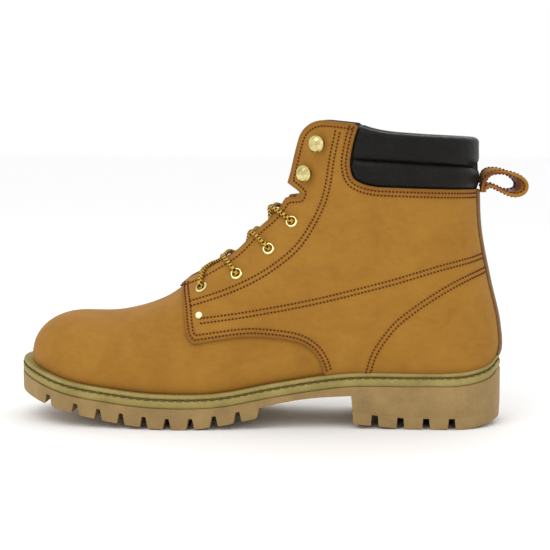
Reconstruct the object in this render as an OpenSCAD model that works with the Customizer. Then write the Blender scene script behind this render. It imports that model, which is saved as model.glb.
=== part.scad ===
// Lace-up ankle work boot with a steel toe cap, left foot.
// X runs from the toe (-X) to the heel (+X), -Y is the outer side of the foot, Z = 0 is the ground.

/* [View] */
// Sub-part to draw

/* [Sole] */
// Length of the outsole from toe to heel
sole_length = 315; // [300:1:325]
// Thickness of the welt lip
welt_t = 3; // [2:0.5:4]
// Thickness of the midsole band
band_t = 5.5; // [4:0.5:7]
// Depth of the tread grooves
groove_depth = 7; // [4:0.5:8]
// Rise of the tread at the toe
toe_spring = 16; // [8:1:18]

/* [Upper] */
// Thickness of the quarter leather
quarter_t = 1.6; // [1.2:0.1:2.2]
// Thickness of the vamp leather
vamp_t = 2.0; // [1.6:0.1:2.4]
// Thickness of the steel toe cap
cap_t = 1.8; // [1.4:0.1:2.2]
// Thickness of the ankle padding
padding_t = 2.5; // [1.5:0.1:3]
// How far the padded collar stands out of the leather
collar_out = 2.4; // [1:0.1:4]

/* [Lacing] */
// Outer radius of an eyelet's flange
eyelet_r = 4.0; // [3.5:0.1:4.5]
// Radius of an eyelet's hole
eyelet_hole_r = 2.4; // [2:0.1:2.6]
// Radius of a lacing stud's head
stud_r = 5.4; // [4.5:0.1:6]
// Diameter of the round lace
lace_d = 3.2; // [2.8:0.1:3.6]

/* [Pull loop] */
// Width of the strap
strap_w = 18; // [12:1:24]

/* [Hidden] */

lateral = -1;
medial = 1;
gap = 0.1;
// Clearance under the quarters, which lie over the vamp, the padding and the counter
quarter_lift = 0.35;

// ---- the last: the shape that the upper is stretched over ----

toe_x = -160;
heel_x = 144.8;
// Half widths of the upper's bottom edge at equal steps from toe to heel: outer side, inner side
last_plan = [
    [38, 40], [43.5, 46.5], [47.2, 49.3], [49, 49.2], [47.7, 45], [43, 38],
    [38.8, 34], [36.8, 33.5], [36, 34.8], [36, 36], [36, 36],
];
// Girth sections from the toe to the collar's rim. Each has its low end [x, z] on the sole or the
// back seam, its high end [x, z] on the throat, its two half widths, and where the widest point is.
stations = [
    [-160, 38.0, -160, 69, 40, 42, 0.20],
    [-130, 29.5, -130, 69, 45, 48, 0.20],
    [-100, 25.0, -100, 70, 49, 51, 0.20],
    [-70, 22.4, -71, 79, 51, 51, 0.22],
    [-32, 23.0, -48, 96, 49, 47, 0.24],
    [6, 29.5, -26, 114, 45, 42, 0.26],
    [50, 35.5, -10, 131, 41, 39, 0.28],
    [96, 36.0, 0, 146, 38.5, 38, 0.30],
    [128.5, 37.3, 4, 156, 37.5, 37.5, 0.32],
    [144.8, 44, 6, 164, 37, 37, 0.36],
    [145.1, 64, 7, 170, 36.5, 36.5, 0.40],
    [138.6, 92, 8, 176, 36, 36, 0.43],
    [132.2, 124, 9, 183, 36.5, 36.5, 0.45],
    [130.5, 152, 11, 190, 37.5, 37.5, 0.46],
    [129.7, 184, 13, 197, 38.5, 38.5, 0.46],
];
seam_station = 9;
rim_station = len(stations) - 1;
toe_round_outer = 46;
toe_round_inner = 40;
toe_round_top = 34;
heel_round = 38;
low_power = 2.2;
high_power = 2.15;

function blend(p0, p1, p2, p3, f) =
    0.5 * (2 * p1 + (p2 - p0) * f + (2 * p0 - 5 * p1 + 4 * p2 - p3) * f * f
    + (3 * p1 - p0 - 3 * p2 + p3) * f * f * f);

// A smooth curve through rows, at place u, where row i is at u = i
function along(rows, u) =
    let (last = len(rows) - 1, v = min(max(u, 0), last - 0.000001), i = floor(v))
    let (p1 = rows[i], p2 = rows[i + 1])
    let (p0 = i > 0 ? rows[i - 1] : 2 * p1 - p2, p3 = i < last - 1 ? rows[i + 2] : 2 * p2 - p1)
    blend(p0, p1, p2, p3, v - i);

function smooth(rows, steps = 3) =
    [for (i = [0 : (len(rows) - 1) * steps]) along(rows, i / steps)];

function reversed(rows) = [for (i = [len(rows) - 1 : -1 : 0]) rows[i]];

function raised(rows, h) = [for (r = rows) r + [0, h]];

// 0 at a rounded end and 1 once it is r away from it
function rounded(distance, r, power) =
    let (u = min(max(1 - distance / r, 0), 1))
    pow(1 - pow(u, power), 1 / power);

function half_width(rows, x, side, x0, x1) =
    let (w = along(rows, (x - x0) / (x1 - x0) * (len(rows) - 1))[side == lateral ? 0 : 1])
    w * rounded(x - x0, side == lateral ? toe_round_outer : toe_round_inner, 2.3)
    * rounded(x1 - x, heel_round, 2.15);

// The point at station t on girth place g: -1 outer bottom edge, 0 throat, 1 inner bottom edge
function on_last(t, g) =
    let (k = along(stations, t), side = g < 0 ? lateral : medial, s = 1 - abs(g))
    let (d = k[0] - toe_x, r = side == lateral ? toe_round_outer : toe_round_inner)
    let (top = k[1] + (k[3] - k[1]) * rounded(d, toe_round_top, 2.4))
    let (w = k[side == lateral ? 4 : 5] * rounded(d, r, 2.3))
    let (w0 = t < seam_station ? min(half_width(last_plan, k[0], side, toe_x, heel_x), w) : 0)
    let (closed = 1 - pow(w0 / max(w, 0.001), low_power))
    let (c = (1 - closed) * sin(90 * s) + closed * (1 - cos(180 * s)) / 2, peak = k[6])
    let (low = pow(1 - closed * pow(max(1 - c / peak, 0), low_power), 1 / low_power))
    let (high = pow(max(1 - pow(max((c - peak) / (1 - peak), 0), high_power), 0), 1 / high_power))
    [k[0] + (k[2] - k[0]) * c, side * w * (c < peak ? low : high), k[1] + (top - k[1]) * c];

function unit(v) = v / norm(v);

function normal_at(t, g) =
    let (dt = 0.02, dg = 0.01)
    unit(cross(on_last(min(t + dt, rim_station), g) - on_last(max(t - dt, 0), g),
               on_last(t, min(g + dg, 1)) - on_last(t, max(g - dg, -1))));

function on_seam(t, g) = g == 0 || (abs(g) == 1 && t >= seam_station);

// The same point moved outward by off
function off_last(t, g, off) =
    let (p = on_last(t, g) + off * normal_at(t, g))
    on_seam(t, g) ? [p.x, 0, p.z] : p;

// ---- a shell over the last, between two offsets ----

module shell(t0, t1, g0, g1, nt, ng, out, in, toe = false, bend = 1) {
    ts = [for (i = [0 : nt]) t0 + (t1 - t0) * pow(i / nt, bend)];
    gs = [for (j = [0 : ng]) g0 + (g1 - g0) * j / ng];
    m = ng + 1;
    count = (nt + 1) * m;
    skin = [for (t = ts) for (g = gs) off_last(t, g, out(t, g))];
    back = [for (t = ts) for (g = gs) off_last(t, g, in(t, g))];
    tip = on_last(0, 0);
    poles = [tip - [out(0, 0), 0, 0], tip - [in(0, 0), 0, 0]];
    po = 2 * count;
    pn = po + 1;
    sheet = [for (i = [0 : nt - 1]) for (j = [0 : ng - 1])
        let (a = i * m + j, b = a + 1, c = a + m + 1, d = a + m) each [[a, b, c], [a, c, d]]];
    inside = [for (f = sheet) [f[0] + count, f[2] + count, f[1] + count]];
    sides = [for (i = [0 : nt - 1])
        let (a = i * m, d = a + m, b = a + ng, c = b + m)
        each [[a, d, d + count], [a, d + count, a + count], [c, b, b + count], [c, b + count, c + count]]];
    far = [for (j = [0 : ng - 1])
        let (d = nt * m + j, c = d + 1) each [[d, c, c + count], [d, c + count, d + count]]];
    near = [for (j = [0 : ng - 1]) each [[j + 1, j, j + count], [j + 1, j + count, j + 1 + count]]];
    fan = [for (j = [0 : ng - 1]) each [[j + 1, j, po], [j + count, j + 1 + count, pn]]];
    fan_sides = [[po, 0, count], [po, count, pn], [ng, po, pn], [ng, pn, ng + count]];
    polyhedron(points = toe ? concat(skin, back, poles) : concat(skin, back),
               faces = concat(sheet, inside, sides, far, toe ? concat(fan, fan_sides) : near));
}

// ---- outlines seen from the side, as [x, z] ----

feather_line = concat([[-168, 40.5]], [for (i = [0 : 18]) let (k = along(stations, i / 2)) [k[0], k[1]]],
                      [[154, 46.5]]);
eyestay_edge = smooth([[-60, 89], [-49, 93.5], [-36, 100.5], [-21, 110.5], [-8, 124], [4, 135], [10.5, 145]]);
notch_edge = [[19.5, 146], [20.7, 148.5], [17, 151.5], [11.8, 155]];
flap_edge = smooth([[11.8, 155], [14, 162.5], [17, 175], [20.5, 186], [26, 192], [33, 194.5], [42, 194.2],
                    [54, 192.8]]);
collar_front = smooth([[56, 191], [53.5, 183], [51.2, 171], [51.4, 164], [54, 158], [61, 154.5], [69, 153]]);
collar_bottom = [[96, 152], [160, 149.5]];
quarter_front = smooth([[-57.5, 88], [-54, 77], [-52, 65], [-50.3, 58.5], [-46.5, 54.4]]);
quarter_sweep = smooth([[-46.5, 54.4], [-31, 57], [-12, 59.4], [6, 58.4], [19, 56], [28, 51], [33, 44],
                        [36, 35.5], [37, 15]]);
facing_edge = smooth([[-49, 76], [-31, 84], [-14, 91.5], [2, 101], [17, 113], [27.5, 128], [34.6, 143],
                      [38, 156], [40, 171], [44.5, 187], [46, 196]]);
vamp_back = smooth([[-53, 100], [-46, 84], [-40, 70], [-30, 64.5], [-10, 66], [10, 66], [27, 62], [38, 54],
                    [44, 44], [47, 15]]);
counter_edge = smooth([[60, 15], [66, 46], [80, 66], [100, 80], [124, 88], [160, 92]]);

throat_side = concat(reversed(flap_edge), reversed(notch_edge), reversed(eyestay_edge));
collar_side = concat(reversed(collar_bottom), reversed(collar_front));
quarter_outline = concat(quarter_front, quarter_sweep, [[160, 15]], collar_side, throat_side);
facing_outline = concat(raised(facing_edge, 1), throat_side);
padding_outline = concat([for (p = facing_edge) if (p.x > -39) p + [1, 0]], reversed(collar_side),
                         [[160, 15]], [for (p = reversed(vamp_back)) if (p.x > -40) p]);
vamp_outline = concat([[-170, 10], [-170, 120], [-60, 120]], vamp_back);
collar_top = smooth([[160, 180.6], [124, 182.2], [95, 183.4], [72, 185.6], [56, 189]]);
collar_outline = concat([for (p = collar_front) if (p.y < 188) p + [0.4, 0.4]], [[96, 152.4], [160, 149.9]],
                        collar_top);
// The heel counter ends above the tight turn where the upper goes under the heel
counter_bottom = 50;
counter_outline = concat([for (p = counter_edge) if (p.y > counter_bottom) p], [[160, counter_bottom]],
                         [[70, counter_bottom]]);
counter_pocket = concat([for (p = counter_edge) p + [-0.6, 0.6]], [[160, 14]]);

module from_side(outline) {
    rotate([90, 0, 0])
        linear_extrude(160, center = true)
            polygon(outline);
}

// Cuts leather to an outline and to the top of the welt, and hands it over as one smooth skin
module cut_to(outline) {
    resize([0, 0, 0])
        intersection() {
            children();
            from_side(outline);
            from_side(concat(raised(feather_line, gap), [[150, 240], [-168, 240]]));
        }
}

module flank(side, out, in, t0 = 3.4, steps = 15) {
    g0 = side == lateral ? -1 : 0;
    shell(t0, rim_station, g0, g0 + 1, steps, 10, function(t, g) out, function(t, g) in);
}

// ---- sole ----

sole_x0 = -166.5;
sole_x1 = sole_x0 + sole_length;
sole_plan = [
    [41, 43], [47.8, 50.7], [52.2, 54.3], [54.6, 54.1], [53.2, 50.2], [48.5, 43.5],
    [43.6, 38.2], [40.6, 36.4], [39.2, 37], [38.6, 37.9], [38, 38],
];

// A foot-shaped outline: rows of half widths from x0 to x1, drawn in by inset
function foot_outline(rows, x0, x1, inset) =
    let (narrow = [for (r = rows) r - [inset, inset]], a = x0 + inset, b = x1 - inset)
    let (toe = [for (i = [0 : 8]) a + 46 * (1 - cos(11.25 * i))])
    let (waist = [for (i = [1 : 9]) toe[8] + (b - heel_round - toe[8]) * i / 9])
    let (heel = [for (i = [1 : 6]) b - heel_round * (1 - sin(15 * i))])
    let (xs = concat(toe, waist, heel))
    concat([for (x = xs) [x, -half_width(narrow, x, lateral, a, b)]],
           [for (i = [len(xs) - 2 : -1 : 1]) [xs[i], half_width(narrow, xs[i], medial, a, b)]]);

// A slab of sole: a foot outline cut between two heights over the bottom edge of the upper
module sole_slab(rows, x0, x1, inset, low, high) {
    intersection() {
        linear_extrude(90)
            polygon(foot_outline(rows, x0, x1, inset));
        from_side(concat(raised(feather_line, low), reversed(raised(feather_line, high))));
    }
}

ball_x = -55;
breast_x = 53;
forepart_end = -6.4;
lug_pitch = 14.8;
heel_lug_end = 64.6;
heel_pitch = 16.2;
groove_w = 5.4;
rib_w = 10;

// Where the heel's tread begins to rise towards the back
heel_bevel_x = 124;

function tread_z(x) =
    x < ball_x ? toe_spring * pow((ball_x - x) / 100, 1.7)
    : x < breast_x ? 7.5 * pow((x - ball_x) / 50, 1.6)
    : max(3 * (88 - x) / 33, 0) + 5 * pow(max(x - heel_bevel_x, 0) / 26, 1.6);

tread_front = [for (i = [0 : 20]) let (x = sole_x0 - 2 + i * (forepart_end - sole_x0 + 2) / 20) [x, tread_z(x)]];
arch = smooth([[-5, 13.8], [6.5, 16.5], [20, 18.9], [34, 20.3], [52.7, 21.2]]);
heel_profile = concat([[53.4, 10], [55.4, tread_z(55.4)], [88, 0]],
                      [for (i = [0 : 6]) let (x = heel_bevel_x + i * (sole_x1 + 1 - heel_bevel_x) / 6)
                       [x, tread_z(x)]]);
groove_xs = concat([for (i = [1 : 7]) forepart_end - i * lug_pitch + groove_w / 2], [-122.5, -141.5],
                   [for (i = [0 : 3]) heel_lug_end + i * heel_pitch + groove_w / 2 + 0.6]);

module groove(x) {
    z = tread_z(x);
    polygon([[x - groove_w / 2, z - 9], [x - groove_w / 2, z], [x - groove_w / 4, z + groove_depth],
             [x + groove_w / 4, z + groove_depth], [x + groove_w / 2, z], [x + groove_w / 2, z - 9]]);
}

module outsole() {
    color([0.63, 0.53, 0.38])
        difference() {
            intersection() {
                linear_extrude(90)
                    polygon(foot_outline(sole_plan, sole_x0, sole_x1, 0));
                rotate([90, 0, 0])
                    linear_extrude(160, center = true)
                        difference() {
                            polygon(concat(tread_front, arch, heel_profile,
                                           reversed(raised(feather_line, -welt_t - band_t))));
                            for (x = groove_xs) groove(x);
                        }
            }
            rotate([90, 0, 0])
                linear_extrude(rib_w, center = true)
                    polygon(concat([[-118, -9]], [for (x = [-118 : 8 : forepart_end]) [x, tread_z(x) + 6]],
                                   [[0, 7], [0, -9]]));
            translate([heel_lug_end + 2, -rib_w / 2, -9])
                cube([50, rib_w, 15]);
        }
}

module midsole() {
    color([0.65, 0.58, 0.36])
        sole_slab(sole_plan, sole_x0, sole_x1, 0.8, -welt_t - band_t, -welt_t);
}

welt_w = 13;
filler_inset = welt_w + 0.2;
shank_x0 = -25;
shank_l = 110;
shank_w = 14;
shank_t = 1.2;
shank_depth = 2.2;

// The shank follows the underside of the insole board; extra makes the recess that it lies in
module shank_band(extra) {
    intersection() {
        from_side(concat(raised(feather_line, -shank_depth - extra),
                         reversed(raised(feather_line, shank_t - shank_depth + extra))));
        translate([shank_x0 - extra, -shank_w / 2 - extra, 0])
            cube([shank_l + 2 * extra, shank_w + 2 * extra, 90]);
    }
}

module welt() {
    color([0.66, 0.60, 0.38])
        difference() {
            sole_slab(sole_plan, sole_x0, sole_x1, 0, -welt_t, 0);
            linear_extrude(90)
                polygon(foot_outline(sole_plan, sole_x0, sole_x1, welt_w));
        }
}

module cork_filler() {
    color([0.55, 0.42, 0.28])
        difference() {
            sole_slab(sole_plan, sole_x0, sole_x1, filler_inset, -welt_t, -gap);
            shank_band(gap);
        }
}

module shank() {
    color([0.6, 0.6, 0.62])
        shank_band(0);
}

board_inset = 6.6;

module insole_board() {
    color([0.72, 0.66, 0.55])
        sole_slab(last_plan, toe_x, heel_x, board_inset, 0, 2.2);
}

module footbed() {
    color([0.2, 0.2, 0.22])
        sole_slab(last_plan, toe_x, heel_x, board_inset + 0.6, 2.3, 7);
}

// ---- upper ----

module vamp() {
    color([0.66, 0.48, 0.22])
        cut_to(vamp_outline)
            shell(0.02, 6.3, -1, 1, 20, 28, function(t, g) 0, function(t, g) -vamp_t, toe = true,
                  bend = 1.8);
}

module quarter(side) {
    color([0.64, 0.46, 0.2])
        cut_to(quarter_outline)
            difference() {
                flank(side, quarter_lift + quarter_t, quarter_lift, steps = 22);
                fastener_holes(side);
            }
}

module quarter_lateral() { quarter(lateral); }

module quarter_medial() { quarter(medial); }

backstay_outline = [[120, 44], [160, 44], [160, 149], [120, 149]];

module backstay() {
    lift = quarter_lift + quarter_t + gap;
    color([0.33, 0.17, 0.1])
        cut_to(backstay_outline)
            for (g = [-1, 0.93])
                shell(seam_station, 13.2, g, g + 0.07, 14, 2, function(t, g) lift + 1.2, function(t, g) lift);
}

module both_flanks(out, in, t0 = 3.4) {
    flank(lateral, out, in, t0);
    flank(medial, out, in, t0);
}

module collar_pad() {
    color([0.1, 0.1, 0.09])
        cut_to(collar_outline)
            both_flanks(collar_out, -6.5, 9.5);
}

cap_end = 3.15;
cap_lift = vamp_t + 2 * gap;

module steel_toe_cap() {
    color([0.55, 0.56, 0.58])
        cut_to([[-170, 10], [-170, 120], [-60, 120], [-60, 10]])
            shell(0.02, cap_end, -1, 1, 12, 22, function(t, g) -cap_lift, function(t, g) -cap_lift - cap_t,
                  toe = true, bend = 1.8);
}

module toe_cap_edge_strip() {
    color([0.15, 0.15, 0.16])
        cut_to([[-120, 10], [-120, 120], [-40, 120], [-40, 10]])
            shell(cap_end + 0.02, cap_end + 0.35, -1, 1, 2, 22, function(t, g) -cap_lift,
                  function(t, g) -cap_lift - cap_t + (t - cap_end) * 3.5);
}

// Clearance outside the stiff counter, which the quarters bend round more tightly
counter_lift = 0.45;

module heel_counter() {
    color([0.75, 0.7, 0.6])
        cut_to(counter_outline)
            both_flanks(-counter_lift, gap - padding_t, 5.5);
}

module ankle_padding(side) {
    color([0.85, 0.82, 0.7])
        cut_to(padding_outline)
            difference() {
                flank(side, 0, -padding_t);
                from_side(counter_pocket);
            }
}

module ankle_padding_lateral() { ankle_padding(lateral); }

module ankle_padding_medial() { ankle_padding(medial); }

lining_t = 0.9;
lining_lift = padding_t + gap;

// The vamp lining runs inside the toe cap, then steps out to the back of the vamp leather
function vamp_lining_lift(t) =
    cap_lift + 3 * gap + cap_t * min(max((cap_end + 0.8 - t) / 0.4, 0), 1);

module vamp_lining() {
    color([0.78, 0.72, 0.6])
        cut_to(concat([[-170, 10], [-170, 120], [-64, 120]], [[-62, 76], [-46, 50], [-30, 40], [-28, 10]]))
            shell(0.02, 5, -1, 1, 16, 22, function(t, g) -vamp_lining_lift(t),
                  function(t, g) -vamp_lining_lift(t) - lining_t, toe = true, bend = 1.8);
}

lining_front = smooth([[-60, 94], [-54, 77], [-52, 65], [-45, 50], [-27, 40], [-26, 15]]);

module quarter_lining(side) {
    color([0.2, 0.19, 0.18])
        cut_to(concat(lining_front, [[160, 15]], collar_side, throat_side))
            difference() {
                flank(side, -lining_lift, -lining_lift - lining_t);
                fastener_holes(side);
            }
}

module quarter_lining_lateral() { quarter_lining(lateral); }

module quarter_lining_medial() { quarter_lining(medial); }

module eyestay_facing(side) {
    color([0.5, 0.36, 0.18])
        cut_to(facing_outline)
            difference() {
                flank(side, 0, -padding_t);
                fastener_holes(side);
                cut_to(vamp_outline)
                    flank(side, 1, -padding_t - 1);
            }
}

module eyestay_facing_lateral() { eyestay_facing(lateral); }

module eyestay_facing_medial() { eyestay_facing(medial); }

// ---- tongue ----

tongue_t = 3;
tongue_low = 8;
tongue_edge = 0.3;
tongue_outline = [[-54, 40], [-54, 140], [0, 220], [50, 187], [60, 100]];

// The tongue comes up to the vamp at its root, lies low under the flaps and rises a little between them
function tongue_lift(t, g) =
    -tongue_low - 0.2 + 0.8 * max(1 - abs(g) / 0.2, 0) + 3.4 * min(max((4 - t) / 0.25, 0), 1);

module tongue() {
    color([0.5, 0.36, 0.16])
        cut_to(tongue_outline)
            shell(3.72, 13.6, -tongue_edge, tongue_edge, 20, 12, function(t, g) tongue_lift(t, g),
                  function(t, g) tongue_lift(t, g) - tongue_t, bend = 1.8);
}

gusset_t = 0.9;

// The gusset folds down from the lining to the tongue's edge
function gusset_lift(g) = -4.2 - 4.6 * min(max((0.5 - abs(g)) / 0.09, 0), 1);

module tongue_gusset(side) {
    color([0.42, 0.3, 0.14])
        cut_to([[-47, 40], [-47, 140], [60, 140], [60, 40]])
            shell(4.3, 6.4, side == lateral ? -0.5 : tongue_edge + 0.01,
                  side == lateral ? -tongue_edge - 0.01 : 0.5, 6, 6,
                  function(t, g) gusset_lift(g), function(t, g) gusset_lift(g) - gusset_t);
}

module tongue_gusset_lateral() { tongue_gusset(lateral); }

module tongue_gusset_medial() { tongue_gusset(medial); }

// ---- eyelets, studs and rivets: [station, girth place] ----

eyelet_places = [[4.12, 0.33], [4.98, 0.38], [5.95, 0.36], [7.03, 0.33]];
stud_places = [[10.53, 0.23], [12.73, 0.28]];
rivet_place = [3.98, 0.52];
barrel_r = eyelet_hole_r + 0.5;
flange_t = 0.5;
stack_out = quarter_lift + quarter_t + gap;
stack_in = padding_t + lining_t + 4 * gap;

// Stands its children on the last at a place, with +Z pointing out of the boot
module stand_at(place, side) {
    n = normal_at(place[0], side * place[1]);
    translate(on_last(place[0], side * place[1]))
        rotate([0, acos(n.z), atan2(n.y, n.x)])
            children();
}

module fastener_holes(side) {
    for (place = eyelet_places)
        stand_at(place, side)
            cylinder(h = 24, r = barrel_r + 0.1, center = true, $fn = 16);
    for (place = stud_places)
        stand_at(place, side)
            cylinder(h = 24, r = 1.7, center = true, $fn = 12);
}

module eyelet() {
    rotate_extrude($fn = 36)
        polygon([[eyelet_hole_r, -stack_in - flange_t], [eyelet_r - 0.4, -stack_in - flange_t],
                 [eyelet_r - 0.4, -stack_in], [barrel_r, -stack_in], [barrel_r, stack_out],
                 [eyelet_r, stack_out], [eyelet_r, stack_out + 0.4], [eyelet_r - 0.6, stack_out + 1],
                 [eyelet_hole_r + 0.5, stack_out + 1], [eyelet_hole_r, stack_out + 0.6]]);
}

module eyelets(side) {
    color([0.86, 0.78, 0.5])
        for (place = eyelet_places)
            stand_at(place, side) eyelet();
}

module eyelets_lateral() { eyelets(lateral); }

module eyelets_medial() { eyelets(medial); }

module lacing_stud() {
    rotate_extrude($fn = 48)
        polygon([[0, -stack_in - 0.8], [3.6, -stack_in - 0.8], [3.6, -stack_in], [1.6, -stack_in],
                 [1.6, stack_out], [4.2, stack_out], [4.2, stack_out + 0.6], [2.2, stack_out + 0.9],
                 [2.2, stack_out + 3], [stud_r, stack_out + 3.4], [stud_r, stack_out + 4],
                 [stud_r * 0.8, stack_out + 5.2], [stud_r * 0.45, stack_out + 5.9], [0, stack_out + 6.1]]);
}

module lacing_studs(side) {
    color([0.88, 0.82, 0.58])
        for (place = stud_places)
            stand_at(place, side) lacing_stud();
}

module lacing_studs_lateral() { lacing_studs(lateral); }

module lacing_studs_medial() { lacing_studs(medial); }

module quarter_rivets() {
    color([0.88, 0.82, 0.58])
        for (side = [lateral, medial])
            stand_at(rivet_place, side)
                translate([0, 0, stack_out - 0.05])
                    rotate_extrude($fn = 36)
                        polygon([[0, 0], [2.5, 0], [2.3, 0.6], [1.4, 1.1], [0, 1.25]]);
}

// ---- lace: one cord, from the boot's own crossings to two free ends tucked inside ----

// A strand's crossings as [station, girth place, lift off the last], from the toe-side eyelets up.
// high and low are the lifts of the upper and lower strand where two cross over the tongue.
high = -2.1;
low = -5.6;
function strand(side, first, second) = [
    for (p = [
        [4.12, -0.14, -5.7], [4.12, -0.24, -5.8], [4.12, -0.31, -5.5], [4.12, -0.33, -2], [4.12, -0.33, 2.2],
        [4.13, -0.31, 4.3], [4.17, -0.26, 4.2], [4.24, -0.19, 3.6], [4.36, -0.1, (first + 3) / 2],
        [4.5, 0, first], [4.64, 0.1, (first + 2) / 2], [4.76, 0.19, 3.2], [4.86, 0.27, 4], [4.95, 0.35, 4.3],
        [4.98, 0.38, 2.2], [4.98, 0.38, -2], [4.99, 0.36, -5.5], [5.06, 0.3, -5.8], [5.2, 0.2, -5.8],
        [5.4, 0.09, (second - 5.8) / 2], [5.52, 0, second], [5.62, -0.1, second / 2 - 1], [5.71, -0.18, 2.6],
        [5.82, -0.25, 3.8], [5.92, -0.33, 4.3], [5.95, -0.36, 2.2], [5.95, -0.36, -2], [5.97, -0.34, -5.5],
        [6.05, -0.28, -5.8], [6.2, -0.19, -5.8], [6.4, -0.09, (first - 5.8) / 2], [6.52, 0, first],
        [6.64, 0.1, first / 2 - 1], [6.76, 0.18, 2.6], [6.88, 0.24, 3.8], [7, 0.3, 4.3], [7.03, 0.33, 2.2],
        [7.03, 0.33, -2], [7.03, 0.33, -6],
    ]) off_last(p[0], -side * p[1], p[2])
];
lace_run_path = concat(reversed(strand(lateral, high, low)), [off_last(4.12, 0, -5.7)],
                       strand(medial, low, high));
// The free end on the outer side of the foot, as [x, y, z]; the other one is its mirror image
lace_end_route = [
    [17, -18.5, 127], [22, -21, 121], [26.5, -23, 113], [30, -25, 104], [33, -27, 93], [35, -28.5, 81],
    [36.5, -29.5, 69], [39, -29.5, 58], [44, -29, 50], [52, -27.5, 46.2], [64, -25.5, 45], [80, -24, 44.8],
    [94, -22.6, 44.9], [104, -22, 45], [109.3, -20.3, 45.2], [112.6, -15.8, 45.4], [112.6, -10.2, 45.4],
    [109.3, -5.7, 45.2], [104, -4, 45], [86, -4, 44.8], [66, -4.2, 44.9], [46, -4.3, 44.2], [30, -4, 42.2],
    [18, -4, 40.3], [12.7, -5.7, 39.5], [9.4, -10.2, 39], [9.4, -15.8, 39], [12.7, -20.3, 39.5],
    [18, -22, 40.3], [30, -20.4, 42.2], [44, -15.8, 44], [60, -13, 45.2], [78, -12.4, 45.5],
];
aglet_l = 22;
aglet_r = 1.75;

function tangents(path) =
    [for (i = [0 : len(path) - 1]) unit(path[min(i + 1, len(path) - 1)] - path[max(i - 1, 0)])];

function carried(ts, i, u) =
    i == len(ts) ? [] : let (v = unit(u - (u * ts[i]) * ts[i])) concat([v], carried(ts, i + 1, v));

module tube(path, d, sides = 8) {
    ts = tangents(path);
    us = carried(ts, 0, [0.31, 0.42, 0.85]);
    n = len(path);
    rings = [for (i = [0 : n - 1]) let (v = cross(ts[i], us[i])) for (k = [0 : sides - 1])
        path[i] + d / 2 * (cos(360 * k / sides) * us[i] + sin(360 * k / sides) * v)];
    skin = [for (i = [0 : n - 2]) for (k = [0 : sides - 1])
        let (a = i * sides + k, b = i * sides + (k + 1) % sides)
        each [[a, a + sides, b + sides], [a, b + sides, b]]];
    polyhedron(points = rings,
               faces = concat(skin, [[for (k = [0 : sides - 1]) k]],
                              [[for (k = [sides - 1 : -1 : 0]) (n - 1) * sides + k]]));
}

module lace_run() {
    color([0.75, 0.6, 0.22])
        tube(lace_run_path, lace_d);
}

function free_end(side) = concat([off_last(7.03, side * 0.33, -6)], [for (p = smooth(lace_end_route, 2))
    [p.x, -side * p.y, p.z]]);

module lace_end_lateral() {
    color([0.75, 0.6, 0.22])
        tube(free_end(lateral), lace_d);
}

module lace_end_medial() {
    color([0.75, 0.6, 0.22])
        tube(free_end(medial), lace_d);
}

module aglets() {
    color([0.12, 0.1, 0.08])
        for (side = [lateral, medial]) {
            path = free_end(side);
            tip = path[len(path) - 1];
            way = unit(tip - path[len(path) - 2]);
            translate(tip)
                rotate([0, acos(way.z), atan2(way.y, way.x)])
                    cylinder(h = aglet_l, r = aglet_r, $fn = 24);
        }
}

// ---- pull loop ----

loop_outer = smooth([[134.5, 150], [134.2, 156], [135.1, 161], [138.4, 164], [144.4, 164.7], [153, 163.4],
                     [160.4, 160.8], [165, 157.2], [166.5, 153.4], [165, 149.6], [161, 147.4], [155.6, 147],
                     [147.6, 149], [142, 152.4], [138.2, 152.6], [136.1, 149.6], [134.5, 150]]);
loop_inner = smooth([[138, 157], [139.2, 160.4], [144.4, 161.4], [152, 160], [158.8, 157.4], [162.8, 153.6],
                     [161, 150.8], [156.2, 150.4], [149, 152.2], [143.4, 155.6], [139.8, 156.2], [138, 157]]);

module pull_loop() {
    color([0.5, 0.34, 0.17])
        rotate([90, 0, 0])
            linear_extrude(strap_w, center = true)
                difference() {
                    polygon(loop_outer);
                    polygon(loop_inner);
                }
}

outsole();
midsole();
welt();
cork_filler();
shank();
insole_board();
footbed();
vamp();
quarter_lateral();
quarter_medial();
backstay();
collar_pad();
steel_toe_cap();
toe_cap_edge_strip();
heel_counter();
ankle_padding_lateral();
ankle_padding_medial();
vamp_lining();
quarter_lining_lateral();
quarter_lining_medial();
eyestay_facing_lateral();
eyestay_facing_medial();
tongue();
tongue_gusset_lateral();
tongue_gusset_medial();
eyelets_lateral();
eyelets_medial();
lacing_studs_lateral();
lacing_studs_medial();
quarter_rivets();
lace_run();
lace_end_lateral();
lace_end_medial();
aglets();
pull_loop();
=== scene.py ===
# Looks of the lace-up work boot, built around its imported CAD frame.
import math

import bpy
import numpy as np
from mathutils import Euler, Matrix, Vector
from mathutils.geometry import delaunay_2d_cdt


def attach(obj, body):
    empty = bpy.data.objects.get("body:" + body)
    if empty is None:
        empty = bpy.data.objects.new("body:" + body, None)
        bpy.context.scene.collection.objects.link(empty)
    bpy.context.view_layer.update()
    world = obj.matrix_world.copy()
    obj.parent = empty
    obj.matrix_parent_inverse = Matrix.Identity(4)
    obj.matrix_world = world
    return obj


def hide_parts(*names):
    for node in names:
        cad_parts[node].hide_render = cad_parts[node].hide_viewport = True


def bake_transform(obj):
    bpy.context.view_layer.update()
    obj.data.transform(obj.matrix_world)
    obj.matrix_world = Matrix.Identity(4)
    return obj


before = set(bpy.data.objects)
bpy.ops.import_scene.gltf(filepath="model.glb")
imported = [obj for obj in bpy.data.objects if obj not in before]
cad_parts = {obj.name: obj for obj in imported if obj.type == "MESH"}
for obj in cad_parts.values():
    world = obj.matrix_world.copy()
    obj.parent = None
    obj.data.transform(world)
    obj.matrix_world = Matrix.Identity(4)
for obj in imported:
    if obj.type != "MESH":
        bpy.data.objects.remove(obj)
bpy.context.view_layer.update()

# Shapes are worked out in millimetres, as the CAD is, and turned into metres when a mesh is made.
MM = 0.001
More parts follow.
